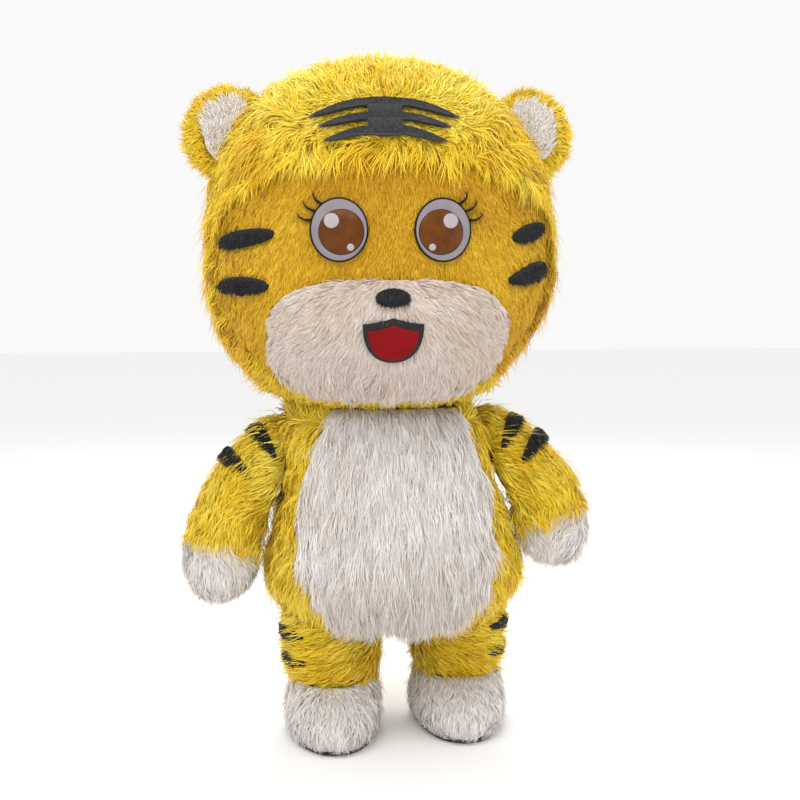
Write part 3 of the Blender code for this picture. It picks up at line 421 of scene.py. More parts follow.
# %% Pile tree
def build_pile_tree():
    group = bpy.data.node_groups.new("pile", "GeometryNodeTree")
    tree = Tree(group)
    face = group.interface
    face.new_socket("Geometry", in_out="INPUT", socket_type="NodeSocketGeometry")
    for name, kind in PILE_INPUTS:
        face.new_socket(name, in_out="INPUT", socket_type=kind)
    face.new_socket("Geometry", in_out="OUTPUT", socket_type="NodeSocketGeometry")
    given = tree.add("NodeGroupInput")

    def value(name):
        return tree.out(given, name)

    def read(name, kind="FLOAT"):
        node = tree.add("GeometryNodeInputNamedAttribute", {"Name": name}, data_type=kind)
        return tree.out(node, "Attribute")

    def random(low, high, offset):
        seed = tree.number("ADD", value("Seed"), float(offset))
        node = tree.add("FunctionNodeRandomValue", {"Min": low, "Max": high, "Seed": seed})
        return tree.out(node, "Value")

    def keep(geometry, name, field, kind="FLOAT", domain="POINT"):
        inputs = {"Geometry": geometry, "Name": name, "Value": field}
        node = tree.add("GeometryNodeStoreNamedAttribute", inputs, data_type=kind, domain=domain)
        return node.outputs["Geometry"]

    def in_the_cloth(direction, out):
        """The part of a direction that lies along the cloth."""
        return direction - out * tree.vector("DOT_PRODUCT", direction, out)

    spread = {name: random(low, high, row) for row, (name, low, high) in enumerate(SPREADS, 1)}

    # Roots on the shell, but none under a sewn-on piece
    inputs = {
        "Mesh": value("Geometry"),
        "Density": value("Density") * read("thick"),
        "Seed": value("Seed"),
    }
    roots = tree.add("GeometryNodeDistributePointsOnFaces", inputs, distribute_method="RANDOM")
    place = Field(tree, tree.add("GeometryNodeInputPosition").outputs[0])
    cover = tree.add("GeometryNodeObjectInfo", {"Object": value("Cover")})
    near = tree.add("GeometryNodeProximity", {0: cover.outputs["Geometry"]}, target_element="FACES")
    tree.put(place, near.inputs["Sample Position"])
    hidden = tree.number("LESS_THAN", tree.out(near, "Distance"), read("bare"))
    inputs = {"Geometry": roots.outputs["Points"], "Selection": hidden * tree.out(near, "Is Valid")}
    points = tree.add("GeometryNodeDeleteGeometry", inputs, domain="POINT").outputs[0]

    # Directions: out of the cloth, along the comb, and a slow swirl with some scatter
    out = tree.vector("NORMALIZE", read("out", "FLOAT_VECTOR"))
    comb = tree.vector("NORMALIZE", in_the_cloth(read("comb", "FLOAT_VECTOR"), out))
    slow = Field(tree, tree.noise(place.socket, SWIRL_SIZE))
    turn = (slow - 0.5) * value("Swirl") * SWIRL_TURN + spread["stray"] * value("Stray")
    inputs = {"Vector": comb, "Axis": out, "Angle": turn}
    turned = tree.add("ShaderNodeVectorRotate", inputs, rotation_type="AXIS_ANGLE")

    # Locks: tips lean towards the middle of their own cell
    cell = tree.add("ShaderNodeTexVoronoi", voronoi_dimensions="3D", feature="F1")
    tree.put(place, cell.inputs["Vector"])
    tree.put(tree.number("DIVIDE", 1.0, value("Lock Size")), cell.inputs["Scale"])
    tree.put(1.0, cell.inputs["Randomness"])
    towards = Field(tree, cell.outputs["Position"]) - place
    lock = tree.add("ShaderNodeSeparateXYZ", {0: cell.outputs["Color"]})
    lock_tint, lock_lift = (Field(tree, socket) for socket in lock.outputs[:2])

    # Sizes and tint of each strand
    reach = value("Length") * read("long") * spread["reach"]
    reach = reach * (lock_lift * LOCK_LENGTH + (1 - LOCK_LENGTH / 2))
    broad = Field(tree, tree.noise(place.socket, PATCH_SIZE, 2.0))
    # The pale value brings in painted highlight and painted shade from the combing and the creases.
    tint = spread["tint"] + lock_tint * LOCK_TINT + broad * PATCH_TINT + TINT_SHIFT + read("pale")
    tint = tree.number("MAXIMUM", tint, TINT_LIMITS[0])
    upright = tree.number("GREATER_THAN", spread["chance"], UPRIGHT_OVER) * spread["upright"]
    stored = (
        ("root", place, "FLOAT_VECTOR"),
        ("out", out, "FLOAT_VECTOR"),
        ("lie", tree.out(turned, "Vector"), "FLOAT_VECTOR"),
        ("pull", in_the_cloth(towards, out) * value("Lock Pull"), "FLOAT_VECTOR"),
        ("reach", reach, "FLOAT"),
        ("tint", tree.number("MINIMUM", tint, TINT_LIMITS[1]), "FLOAT"),
        ("lean", (lock_lift - 0.5) * LOCK_LEAN - upright * value("Tufts") + spread["lean"], "FLOAT"),
        ("twist", spread["twist"], "FLOAT"),
        ("curl", spread["curl"], "FLOAT"),
        ("half", value("Width") * spread["half"], "FLOAT"),
    )
    for name, field, kind in stored:
        points = keep(points, name, field, kind)
    strand = tree.add("GeometryNodeObjectInfo", {"Object": value("Strand")})
    inputs = {"Points": points, "Instance": strand.outputs["Geometry"]}
    copies = tree.add("GeometryNodeInstanceOnPoints", inputs)
    ribbons = tree.add("GeometryNodeRealizeInstances", {0: copies.outputs[0]}).outputs[0]

    # Each corner of each ribbon, bent into place
    along, reach, twist = read("along"), read("reach"), read("twist")
    out, lie = read("out", "FLOAT_VECTOR"), read("lie", "FLOAT_VECTOR")
    side = tree.vector("CROSS_PRODUCT", lie, out)
    bow = value("Root Lean") + (value("Tip Lean") - value("Root Lean")) * along + read("lean")
    up, over = tree.number("COSINE", bow), tree.number("SINE", bow)
    path = (out * up + lie * over + side * (read("curl") * along)) * (reach * along)
    path = path + read("pull", "FLOAT_VECTOR") * (along * along)
    path = path + (0.0, 0.0, -1.0) * (value("Droop") * reach * along * along)
    flat, edge_on = tree.number("COSINE", twist), tree.number("SINE", twist)
    width = (side * flat + out * edge_on) * (read("across") * read("half"))
    target = tree.add("ShaderNodeSeparateXYZ", {0: read("root", "FLOAT_VECTOR") + path + width})

    # Strand ends that would pass through the floor lie on it
    level = tree.number("MAXIMUM", target.outputs[2], PILE_FLOOR)
    inputs = {0: target.outputs[0], 1: target.outputs[1], 2: level}
    target = tree.add("ShaderNodeCombineXYZ", inputs)
    inputs = {"Geometry": ribbons, "Position": target.outputs[0]}
    bent = tree.add("GeometryNodeSetPosition", inputs).outputs[0]

    # Soft shading, the tint map and the finish
    slope = out * over - lie * up
    normal = out + slope * SLOPE_SHADE - side * (edge_on * TWIST_SHADE)
    shaded = tree.add("GeometryNodeSetMeshNormal", {"Mesh": bent}, mode="FREE", domain="POINT")
    tree.put(tree.vector("NORMALIZE", normal), shaded.inputs["Custom Normal"])
    pair = tree.add("ShaderNodeCombineXYZ", {0: read("tint"), 1: along})
    mapped = keep(shaded.outputs[0], BAKE_MAP, pair.outputs[0], "FLOAT2", "CORNER")
    finished = tree.add("GeometryNodeSetMaterial", {"Geometry": mapped, "Material": value("Finish")})
    tree.add("NodeGroupOutput", {0: finished.outputs[0]})
    return group


PILE_TREE = build_pile_tree()
print("pile tree", len(PILE_TREE.nodes), "nodes")

# %% [markdown]
# ## The cloth panels
# Each panel of the suit is a sheet of backing cloth, pulled tight by the air inside. Its shell takes the
# outside of the solid panel and lies a pile's height below it, so that the tips of the pile end near the
# solid's surface. A ray test finds the outside: a face belongs to it if the open air can be seen from it.

# %% Reading the solid panels
SKY_RAYS = 48
SKY_NEEDED = 2
SKY_START = 0.004
SKY_SLANT = 0.15
JOIN_WITHIN = 1e-5
WALL_START = 1e-4
WALL_LIMITS = (0.3, 2.2)
WALL_FACING = -0.5


def sky_directions():
    """Directions spread evenly over a ball, by the golden angle."""
    golden = math.pi * (3 - math.sqrt(5))
    found = []
    for index in range(SKY_RAYS):
        z = 1 - 2 * (index + 0.5) / SKY_RAYS
        flat = math.sqrt(1 - z * z)
        found.append(Vector((flat * math.cos(golden * index), flat * math.sin(golden * index), z)))
    return found


def merged(name):
    """A node's mesh with its split corners joined again."""
    bm = bmesh.new()
    bm.from_mesh(NODES[name].data)
    bmesh.ops.remove_doubles(bm, verts=bm.verts, dist=JOIN_WITHIN)
    bm.normal_update()
    return bm


def ray_tree(forms):
    """One tree for ray tests over several forms, each (corners, faces)."""
    verts = []
    faces = []
    for corners, polygons in forms:
        start = len(verts)
        verts.extend(corners)
        faces.extend([start + i for i in polygon] for polygon in polygons)
    return BVHTree.FromPolygons(verts, faces)


STRIPES = sorted(name for name in NODES if "stripe" in name)
COVERS = STRIPES + ["brow_mark", "nose", "mouth", "mouth_edge", "eye_left", "eye_right"]
FITTINGS = ["zip_tape", "air_inlet", "zip_slider"]
SEWN_ON = COVERS + ["iris_left", "iris_right"]
WHOLE = ray_tree(([v.co.copy() for v in NODES[name].data.vertices],
                  [list(p.vertices) for p in NODES[name].data.polygons])
                 for name in sorted(NODES) if name not in SEWN_ON)
DIRECTIONS = sky_directions()


def sees_sky(face):
    start = face.calc_center_median() + face.normal * SKY_START
    ahead = [way for way in DIRECTIONS if way.dot(face.normal) > SKY_SLANT]
    return sum(WHOLE.ray_cast(start, way)[0] is None for way in ahead) >= SKY_NEEDED


def outside(name, wall):
    """The panel's outer faces, as a bmesh: they see the sky and have the wall behind them."""
    bm = merged(name)
    own = BVHTree.FromBMesh(bm)
    inner = []
    for face in bm.faces:
        start = face.calc_center_median() - face.normal * WALL_START
        _, normal, _, depth = own.ray_cast(start, -face.normal)
        backed = depth is not None and WALL_LIMITS[0] * wall < depth < WALL_LIMITS[1] * wall
        if not (backed and normal.dot(face.normal) < WALL_FACING and sees_sky(face)):
            inner.append(face)
    bmesh.ops.delete(bm, geom=inner, context="FACES")
    return bm


# %% [markdown]
# ## Combing
# The pile lies differently on every part. On the crown it stands up and back, and just above the face it
# falls forward as a fringe. On the cheeks, body and belly it hangs down and a little outwards, on the
# arms it follows the sleeve, and on the legs it is brushed sideways. Each function gives the comb
# direction at a point, how long the pile is there, and how pale. How pale also paints light: a painted
# highlight on the crown, and painted shade on the upper face, between the eyes and on the lower belly.

# %% Combing the head
HEAD = Vector((-0.0187, 0.0304, 1.385))
HEAD_HALF_WIDTH = 0.52
PARTING_MIDDLE = 1.755
PARTING_SIDE = 1.86
PARTING_BLUR = 0.035
BROW_HALF_WIDTH = 0.20
BROW_FOOT = 1.745
BROW_TOP = 1.845
BROW_BLUR = 0.03
BROW_LENGTH = 0.30
NOSE = Vector((-0.0187, -0.45, 1.322))


def ease(low, high, value):
    """0 below low, 1 above high, and a smooth rise between."""
    share = min(max((value - low) / (high - low), 0.0), 1.0)
    return share * share * (3 - 2 * share)


def in_brow(p):
    """1 on the forehead around the brow mark, and 0 away from it."""
    beside = 1 - ease(BROW_HALF_WIDTH, BROW_HALF_WIDTH + BROW_BLUR, abs(p.x - HEAD.x))
    over = 1 - ease(BROW_TOP, BROW_TOP + BROW_BLUR, p.z)
    under = ease(BROW_FOOT - BROW_BLUR, BROW_FOOT, p.z)
    return beside * over * under if p.y < 0 else 0.0


def comb_head(p):
    across = (p.x - HEAD.x) / HEAD_HALF_WIDTH
    front = 1 - ease(-0.10, 0.12, p.y)
    parting = PARTING_MIDDLE + (PARTING_SIDE - PARTING_MIDDLE) * ease(0.38, 0.75, abs(across))
    crown = ease(parting - PARTING_BLUR, parting + PARTING_BLUR, p.z)
    rise = 0.75 * crown * front - (1 - crown * front) * (0.9 if front > 0.5 else 1.0)
    comb = Vector((0.95 * across, 0.35 * (1 - front) * crown + 0.25, rise))
    fringe = front * (1 - crown) * ease(1.66, 1.74, p.z) * (1 - ease(0.62, 0.8, abs(across)))
    comb = comb.lerp(Vector((0.55 * across, -0.45, -1.0)), fringe)
    brow = in_brow(p)
    comb = comb.lerp(Vector((math.copysign(1, across), 0.0, -0.25)), brow)
    chin = front * (1 - ease(1.04, 1.14, p.z)) * (1 - ease(0.50, 0.66, abs(across)))
    length = 1.0 + 0.35 * fringe + 0.1 * crown - 0.6 * chin
    # The crown's pile is painted paler: a painted highlight where the light from above falls.
    return comb, length + (BROW_LENGTH - length) * brow, 0.16 * crown - 0.02


def comb_face(p):
    across = (p.x - HEAD.x) / HEAD_HALF_WIDTH
    middle = 1 - ease(0.20, 0.60, abs(across))
    # The upper face under the fringe and the middle between the eyes are painted darker: painted shade.
    return Vector((0.8 * across, 0.1, -1.0)), 1.0, -0.22 * ease(1.46, 1.66, p.z) - 0.24 * middle


def comb_muzzle(p):
    away = p - NOSE
    chin = 1 - ease(1.06, 1.16, p.z)
    comb = Vector((1.3 * away.x * (1 - chin), 0.05, 0.9 * min(away.z, 0.0) - 0.14 - 0.5 * chin))
    return comb, 1.0 + 0.9 * chin, 0.0


# %% Combing the body
COLLAR = (0.945, 0.975)
TORSO_HALF_WIDTH = 0.35
BELLY_HALF_WIDTH = 0.3
FOOT_MIDDLES = {True: 0.219, False: -0.167}


def comb_torso(p):
    across = (p.x - BODY_MIDDLE.x) / TORSO_HALF_WIDTH
    hip = ease(0.40, 0.50, p.z) * (1 - ease(0.56, 0.66, p.z))
    side = 1 - ease(0.0, 0.20, abs(p.y - BODY_MIDDLE.y))
    comb = Vector(((0.25 + 0.5 * hip + 0.7 * side) * across, 0.0, -1.0))
    collar = ease(*COLLAR, p.z)
    return comb.lerp(Vector((0.5 * across, 0.0, 1.0)), collar), 1.0 + 0.25 * max(hip, side), 0.0


def comb_belly(p):
    across = (p.x - BODY_MIDDLE.x) / BELLY_HALF_WIDTH
    # The lower belly is painted darker: painted shade where it curves under.
    return Vector((0.16 * across, -0.1, -1.0)), 1.0, -0.40 * (1 - ease(0.40, 0.66, p.z))


def comb_sleeve(p):
    out = 1 - ease(0.36, 0.50, abs(p.x))
    side = math.copysign(1, p.x)
    comb = Vector((0.12 * side, 0.05, -1.0)).lerp(Vector((side, 0.0, -0.35)), out)
    return comb, 1.0 + 0.35 * out, 0.10


def comb_paw(p):
    return Vector((-0.1 * math.copysign(1, p.x), -0.2, -1.0)), 1.0, 0.0


def comb_leg(p):
    return Vector((math.copysign(1, p.x), 0.25, -0.22)), 1.0, 0.0


def comb_foot(p):
    sole = 1 - ease(0.02, 0.09, p.z)
    across = (p.x - FOOT_MIDDLES[p.x > 0]) * 2.5
    return Vector((across, -0.5, -0.75 + 0.6 * sole)), 1.0 - 0.4 * sole, 0.0


# %% Combing the ears
EAR_MIDDLES = {1: Vector((0.4193, 0.0504, 1.785)), -1: Vector((-0.4567, 0.0504, 1.785))}


def comb_ear(p):
    side = 1 if p.x > 0 else -1
    away = (p - EAR_MIDDLES[side]).normalized()
    return away + Vector((side * 0.5, 0, 0.2)), 1.0, 0.05


def comb_ear_front(p):
    return Vector((math.copysign(0.35, p.x), 0, 1.0)), 1.0, 0.0


# %% [markdown]
# ## Creases
# Air keeps the cloth full, so there are only a few creases, where panels meet at an angle or the cloth
# has length to spare. Each is a soft trough along a line, given by its two ends, its width and its
# depth. The back was not seen, so it gets troughs like those of the front. A few broad hollows fit the
# head's outline to the picture.

# %% Troughs and hollows
TROUGHS = (
    # start, end, width, depth
    # Armpits and the inside of the elbows
    ((0.330, -0.20, 0.930), (0.375, -0.10, 0.760), 0.030, 0.014),
    ((-0.330, -0.20, 0.920), (-0.385, -0.10, 0.740), 0.030, 0.014),
    ((0.330, 0.24, 0.930), (0.375, 0.14, 0.760), 0.030, 0.012),
    ((-0.330, 0.24, 0.920), (-0.385, 0.14, 0.740), 0.030, 0.012),
    # Across the sleeves
    ((0.470, -0.18, 0.700), (0.620, -0.06, 0.730), 0.022, 0.008),
    ((-0.455, -0.18, 0.640), (-0.620, -0.08, 0.670), 0.022, 0.008),
    ((0.470, 0.14, 0.700), (0.620, 0.06, 0.730), 0.022, 0.008),
    ((-0.455, 0.12, 0.640), (-0.620, 0.06, 0.670), 0.022, 0.008),
    # Down the belly
    ((-0.135, -0.34, 0.740), (-0.150, -0.30, 0.420), 0.022, 0.009),
    ((0.105, -0.34, 0.620), (0.120, -0.30, 0.400), 0.022, 0.007),
    ((-0.020, -0.34, 0.520), (-0.005, -0.28, 0.360), 0.020, 0.006),
    # Down the back beside the zip
    ((-0.150, 0.36, 0.780), (-0.160, 0.32, 0.480), 0.028, 0.009),
    ((0.150, 0.36, 0.860), (0.140, 0.34, 0.620), 0.028, 0.009),
    # Hips and thighs
    ((0.300, -0.24, 0.470), (0.380, -0.05, 0.400), 0.030, 0.010),
    ((-0.290, -0.24, 0.470), (-0.360, -0.05, 0.400), 0.030, 0.010),
    ((0.300, 0.26, 0.470), (0.380, 0.10, 0.400), 0.030, 0.010),
    ((-0.290, 0.26, 0.470), (-0.360, 0.10, 0.400), 0.030, 0.010),
    # Ankles
    ((0.060, -0.14, 0.215), (0.330, -0.13, 0.205), 0.020, 0.007),
    ((-0.310, -0.17, 0.205), (-0.040, -0.17, 0.215), 0.020, 0.007),
)
TROUGH_REACH = 3
HOLLOWS = (
    # middle, radius, depth
    # The cheeks draw in above the neck
    ((0.45, -0.10, 1.120), 0.200, 0.046),
    ((-0.47, -0.12, 1.160), 0.200, 0.015),
    ((0.40, 0.28, 1.180), 0.200, 0.016),
    ((-0.43, 0.28, 1.180), 0.200, 0.012),
    # The crown is a little flatter on the wearer's left
    ((0.33, 0.00, 1.880), 0.160, 0.012),
)


def trough_depth(p):
    total = sum(depth * math.exp(-(((p - Vector(middle)).length / radius) ** 2))
                for middle, radius, depth in HOLLOWS)
    for start, end, width, depth in TROUGHS:
        share = intersect_point_line(p, Vector(start), Vector(end))[1]
        near = Vector(start).lerp(Vector(end), min(max(share, 0.0), 1.0))
        away = (p - near).length / width
        if away < TROUGH_REACH:
            total += depth * math.exp(-(away ** 2))
    return total


# %% [markdown]
# ## Shells
# The outer faces are split until they are small, smoothed, and moved inwards by the height of the pile.
# Under the brow mark, round the face, at the neck and at the soles they move less, so that no gap
# shows there. The cheeks' pile is longer at the face's border and covers that seam. What the pile's tree
# needs is stored on the shell's corners.

# %% Building one shell
SPLIT_OVER = 0.034
SPLITS = 3
SMOOTHINGS = 3
RAISED_DEPTH = 0.006
NECK_HEIGHT = 1.0
NECK_REACH = (0.02, 0.07)
SOLE_REACH = (0.03, 0.08)
HAIRLINE_REACH = (0.005, 0.045)
CHEEK_EDGE_REACH = (0.008, 0.035)
CHEEK_EDGE_TOP = (1.54, 1.64)
CHEEK_EDGE_LENGTH = 1.3
SINK_SHADE = 12
BARE_MARGIN = 0.003
BROW_MARGIN = 0.0012


def split_and_smooth(bm):
    for _ in range(SPLITS):
        long_edges = [e for e in bm.edges if e.calc_length() > SPLIT_OVER]
        if not long_edges:
            break
        bmesh.ops.subdivide_edges(bm, edges=long_edges, cuts=1, use_grid_fill=True)
        bmesh.ops.triangulate(bm, faces=[f for f in bm.faces if len(f.verts) > 3])
    bmesh.ops.delete(bm, geom=[v for v in bm.verts if not v.link_faces], context="VERTS")
    inner = [v for v in bm.verts if not v.is_boundary]
    for _ in range(SMOOTHINGS):
        bmesh.ops.smooth_vert(bm, verts=inner, factor=0.5, use_axis_x=True, use_axis_y=True,
                              use_axis_z=True)
    bm.normal_update()


def shell_mesh(name, bm, depth, comb_at, hairline):
    split_and_smooth(bm)
    layers = bm.verts.layers
    out_layer = layers.float_vector.new("out")
    comb_layer = layers.float_vector.new("comb")
    thick_layer, long_layer, pale_layer, bare_layer = (
        layers.float.new(layer) for layer in ("thick", "long", "pale", "bare"))
    moved = []
    for vert in bm.verts:
        p = vert.co
        comb, length, pale = comb_at(p)
        brow = in_brow(p) if comb_at is comb_head else 0.0
        beside = 1.0
        if comb_at in (comb_head, comb_face):
            beside = min((p - point).length for point in hairline)
        if comb_at is comb_face:
            low = 1 - ease(*CHEEK_EDGE_TOP, p.z)
            length += CHEEK_EDGE_LENGTH * low * (1 - ease(*CHEEK_EDGE_REACH, beside))
        raised = max(brow, 1 - ease(*NECK_REACH, abs(p.z - NECK_HEIGHT)),
                     1 - ease(*SOLE_REACH, p.z), 1 - ease(*HAIRLINE_REACH, beside))
        sink = trough_depth(p) + (RAISED_DEPTH - depth) * raised
        vert[out_layer] = vert.normal
        vert[comb_layer] = comb
        vert[thick_layer] = 1.0
        vert[long_layer] = length
        # The pile in troughs and hollows is painted darker: painted shade in the creases.
        vert[pale_layer] = pale - SINK_SHADE * max(sink, 0.0)
        vert[bare_layer] = depth + sink + BARE_MARGIN - (BARE_MARGIN - BROW_MARGIN) * brow
        moved.append((vert, p - vert.normal * (depth + sink)))
    for vert, place in moved:
        vert.co = place
    return to_mesh(name, bm, smooth=True)


# %% [markdown]
# ## The panels
# Most panels come in pairs, left and right. The flat size is the rectangle of cloth that the whole panel
# is cut from.

# %% Building all shells
LONG_WALL = 0.026
SHORT_WALL = 0.015
EAR_WALL = 0.020
EAR_FRONT_WALL = 0.012
ONE = ("",)
PAIR = ("_left", "_right")
KINDS = (
    # kind, name endings, wall, shell depth, comb, finish, flat size
    ("head_back", ONE, LONG_WALL, 0.020, comb_head, "yellow_long_pile", (2.40, 1.30)),
    ("face", PAIR, SHORT_WALL, 0.009, comb_face, "yellow_short_pile", (0.52, 0.66)),
    ("muzzle", PAIR, SHORT_WALL, 0.008, comb_muzzle, "cream_pile", (0.42, 0.42)),
    ("ear", PAIR, EAR_WALL, 0.022, comb_ear, "yellow_long_pile", (0.34, 0.32)),
    ("ear_front", PAIR, EAR_FRONT_WALL, 0.008, comb_ear_front, "white_pile", (0.17, 0.20)),
    ("torso", PAIR, LONG_WALL, 0.020, comb_torso, "yellow_long_pile", (0.90, 0.72)),
    ("belly", ONE, LONG_WALL, 0.013, comb_belly, "white_pile", (0.64, 0.76)),
    ("sleeve", PAIR, LONG_WALL, 0.020, comb_sleeve, "yellow_long_pile", (0.66, 0.42)),
    ("paw", PAIR, LONG_WALL, 0.018, comb_paw, "white_pile", (0.62, 0.28)),
    ("leg", PAIR, LONG_WALL, 0.020, comb_leg, "yellow_long_pile", (0.86, 0.26)),
    ("foot", PAIR, LONG_WALL, 0.014, comb_foot, "white_pile", (0.80, 0.36)),
)
PANELS = [(kind + ending, kind, *rest) for kind, endings, *rest in KINDS for ending in endings]


def corners_and_faces(bm):
    bm.verts.index_update()
    return [v.co.copy() for v in bm.verts], [[v.index for v in f.verts] for f in bm.faces]


def build_shells():
    forms = {name: outside(name, wall) for name, _, wall, *_ in PANELS}
    surface = ray_tree(corners_and_faces(bm) for bm in forms.values())
    hairline = [v.co.copy() for v in forms["head_back"].verts if v.is_boundary and v.co.y < 0]
    shells = {}
    for name, _, _, depth, comb_at, finish, _ in PANELS:
        title = name + "_cloth"
        mesh = shell_mesh(title, forms[name], depth, comb_at, hairline)
        shells[name] = show(title, mesh, BACKINGS[finish])
        area = sum(p.area for p in mesh.polygons)
        print(name, "shell", len(mesh.polygons), "faces,", round(area, 4), "square metres")
    return shells, surface


SHELLS, SURFACE = build_shells()

# %% [markdown]
# ## Sewn-on pieces
# The stripes, the nose, the eyes and the mouth are separate pieces of cloth, stitched on top of the pile.
# The pile is left out under them. The tree measures from their own solids, gathered here in one helper
# mesh that is thrown away at the end.

# %% Where no pile grows
def cover_helper(names):
    bm = bmesh.new()
    for name in names:
        bm.from_mesh(NODES[name].data)
    return bpy.data.objects.new("cover", to_mesh("cover", bm))


COVER = cover_helper(COVERS + FITTINGS)

# %% [markdown]
# ## How each pile grows
# Long pile is about six centimetres and short pile about two. The numbers follow the plush of each
# panel: the belly's is the longest and silkiest, the face's is cropped, and paws and feet are tousled.
# The head has three parts: its front, the fringe over the face, and the rear, which is grown thinner.

# %% Pile settings
BASE_PILE = {
    "Density": 46000.0,
    "Length": 0.060,
    "Width": 0.0030,
    "Root Lean": 0.62,
    "Tip Lean": 1.45,
    "Swirl": 0.50,
    "Stray": 0.26,
    "Lock Size": 0.022,
    "Lock Pull": 0.50,
    "Droop": 0.10,
    "Tufts": 0.9,
}
PILE_CHANGES = {
    "head_back": {"Density": 50000.0, "Length": 0.062},
    "face": {"Density": 100000.0, "Length": 0.021, "Width": 0.0024,
             "Root Lean": 1.05, "Tip Lean": 1.50, "Swirl": 0.30, "Stray": 0.18,
             "Lock Size": 0.014, "Lock Pull": 0.25, "Tufts": 0.4},
    "muzzle": {"Density": 95000.0, "Length": 0.030, "Width": 0.0025,
               "Root Lean": 1.2, "Tip Lean": 1.52, "Swirl": 0.30, "Stray": 0.14,
               "Lock Size": 0.022, "Lock Pull": 0.25, "Tufts": 0.35},
    "ear": {"Density": 74000.0, "Length": 0.042, "Width": 0.0028, "Root Lean": 0.65,
            "Tip Lean": 1.3, "Stray": 0.7, "Swirl": 0.9},
    "ear_front": {"Density": 90000.0, "Length": 0.036, "Width": 0.0026, "Root Lean": 0.9,
                  "Tip Lean": 1.45},
    "torso": {"Density": 40000.0},
    "belly": {"Density": 84000.0, "Length": 0.074, "Width": 0.0026, "Root Lean": 1.12,
              "Tip Lean": 1.52, "Swirl": 0.26, "Stray": 0.09, "Lock Size": 0.030, "Lock Pull": 0.35,
              "Tufts": 0.25},
    "sleeve": {"Density": 54000.0},
    "paw": {"Density": 74000.0, "Length": 0.046, "Width": 0.0026, "Swirl": 0.8, "Stray": 0.3,
            "Root Lean": 0.8, "Tip Lean": 1.4},
    "leg": {"Density": 54000.0},
    "foot": {"Density": 72000.0, "Length": 0.042, "Width": 0.0026, "Swirl": 0.6, "Stray": 0.3,
             "Root Lean": 0.9, "Tip Lean": 1.4},
}
REAR = {"Density": 23500.0, "Width": 0.0044}
REAR_START = 0.02
FRINGE = {"Density": 46000.0, "Length": 0.068, "Root Lean": 0.70, "Tip Lean": 1.35, "Swirl": 1.4,
          "Stray": 0.45, "Droop": 0.20, "Lock Size": 0.034, "Lock Pull": 1.0}
FRINGE_HEIGHTS = (1.62, 1.775)
FRINGE_HALF_WIDTH = 0.40
FRINGE_BACK = -0.1


def in_fringe(p):
    low, high = FRINGE_HEIGHTS
    return p.y < FRINGE_BACK and low < p.z < high and abs(p.x - HEAD.x) < FRINGE_HALF_WIDTH


WHOLE_PANEL = (("pile", None, {}),)
HEAD_PARTS = (
    # name ending, which faces, changed settings
    ("front_pile", lambda p: p.y < REAR_START and not in_fringe(p), {}),
    ("fringe_pile", in_fringe, FRINGE),
    ("rear_pile", lambda p: p.y >= REAR_START, REAR),
)

# %% Growing one pile
HELPERS = ("root", "out", "lie", "pull", "reach", "tint", "lean", "twist", "curl", "half", "along",
           "across", "comb", "thick", "long", "pale", "bare")


def drop_helpers(mesh):
    for helper in HELPERS:
        if helper in mesh.attributes:
            mesh.attributes.remove(mesh.attributes[helper])


def evaluated_mesh(obj):
    bpy.context.view_layer.update()
    graph = bpy.context.evaluated_depsgraph_get()
    mesh = bpy.data.meshes.new_from_object(obj.evaluated_get(graph))
    drop_helpers(mesh)
    return mesh


def socket_of(name):
    return next(i.identifier for i in PILE_TREE.interface.items_tree if i.name == name)


def grow(name, shell, finish, settings, seed, keep_face=None):
    """Grows pile on a copy of the shell, and shows it as a plain mesh of its own."""
    bm = bmesh.new()
    bm.from_mesh(shell.data)
    if keep_face:
        gone = [f for f in bm.faces if not keep_face(f.calc_center_median())]
        bmesh.ops.delete(bm, geom=gone, context="FACES")
    bed = show(name + "_bed", to_mesh(name + "_bed", bm))
    modifier = bed.modifiers.new("pile", "NODES")
    modifier.node_group = PILE_TREE
    strand = CURLED if "fringe" in name else PLAIN
    given = {"Strand": strand, "Cover": COVER, "Seed": seed, "Finish": PILE_MATERIALS[finish]}
    for key, value in {**settings, **given}.items():
        modifier[socket_of(key)] = value
    pile = show(name, evaluated_mesh(bed))
    pile.data.name = name
    bpy.data.meshes.remove(bed.data)
    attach(pile, SUIT)
    return pile


def triangles(mesh):
    return sum(len(p.vertices) - 2 for p in mesh.polygons)


# %% Growing all piles
FIRST_SEED = 11
SEED_STEP = 7


def grow_all():
    piles = {}
    total = 0
    for index, (name, kind, _, _, _, finish, _) in enumerate(PANELS):
        parts = HEAD_PARTS if kind == "head_back" else WHOLE_PANEL
        piles[name] = []
        for part, (ending, keep_face, changes) in enumerate(parts):
            settings = {**BASE_PILE, **PILE_CHANGES[kind], **changes}
            seed = FIRST_SEED + SEED_STEP * index + part
            pile = grow(f"{name}_{ending}", SHELLS[name], finish, settings, seed, keep_face)
            piles[name].append(pile)
            count = triangles(pile.data)
            total += count
            print(pile.name, count, "triangles")
    print("pile in all", total, "triangles")
    return piles


PILES_GROWN = grow_all()

# %% [markdown]
# ## Pads
# A stripe or the nose is a leaf of black plush, sewn down along its edge so that it stands up like a
# small cushion. Its outline is taken from its own solid and made smooth, then rings of it are laid on
# the panels below, each a little smaller and higher than the last. A skirt closes the edge.

# %% Smooth outlines
PAD_POINTS = 72
PATCH_TOP = 0.0018


def catmull(points, place):
    """A point on the smooth closed curve through these points, at a place from 0 to their number."""
    count = len(points)
    index = int(math.floor(place))
    t = place - index
    p0, p1, p2, p3 = (points[(index + k) % count] for k in (-1, 0, 1, 2))
    return 0.5 * ((2 * p1) + (p2 - p0) * t + (2 * p0 - 5 * p1 + 4 * p2 - p3) * t * t
                  + (3 * p1 - p0 - 3 * p2 + p3) * t * t * t)


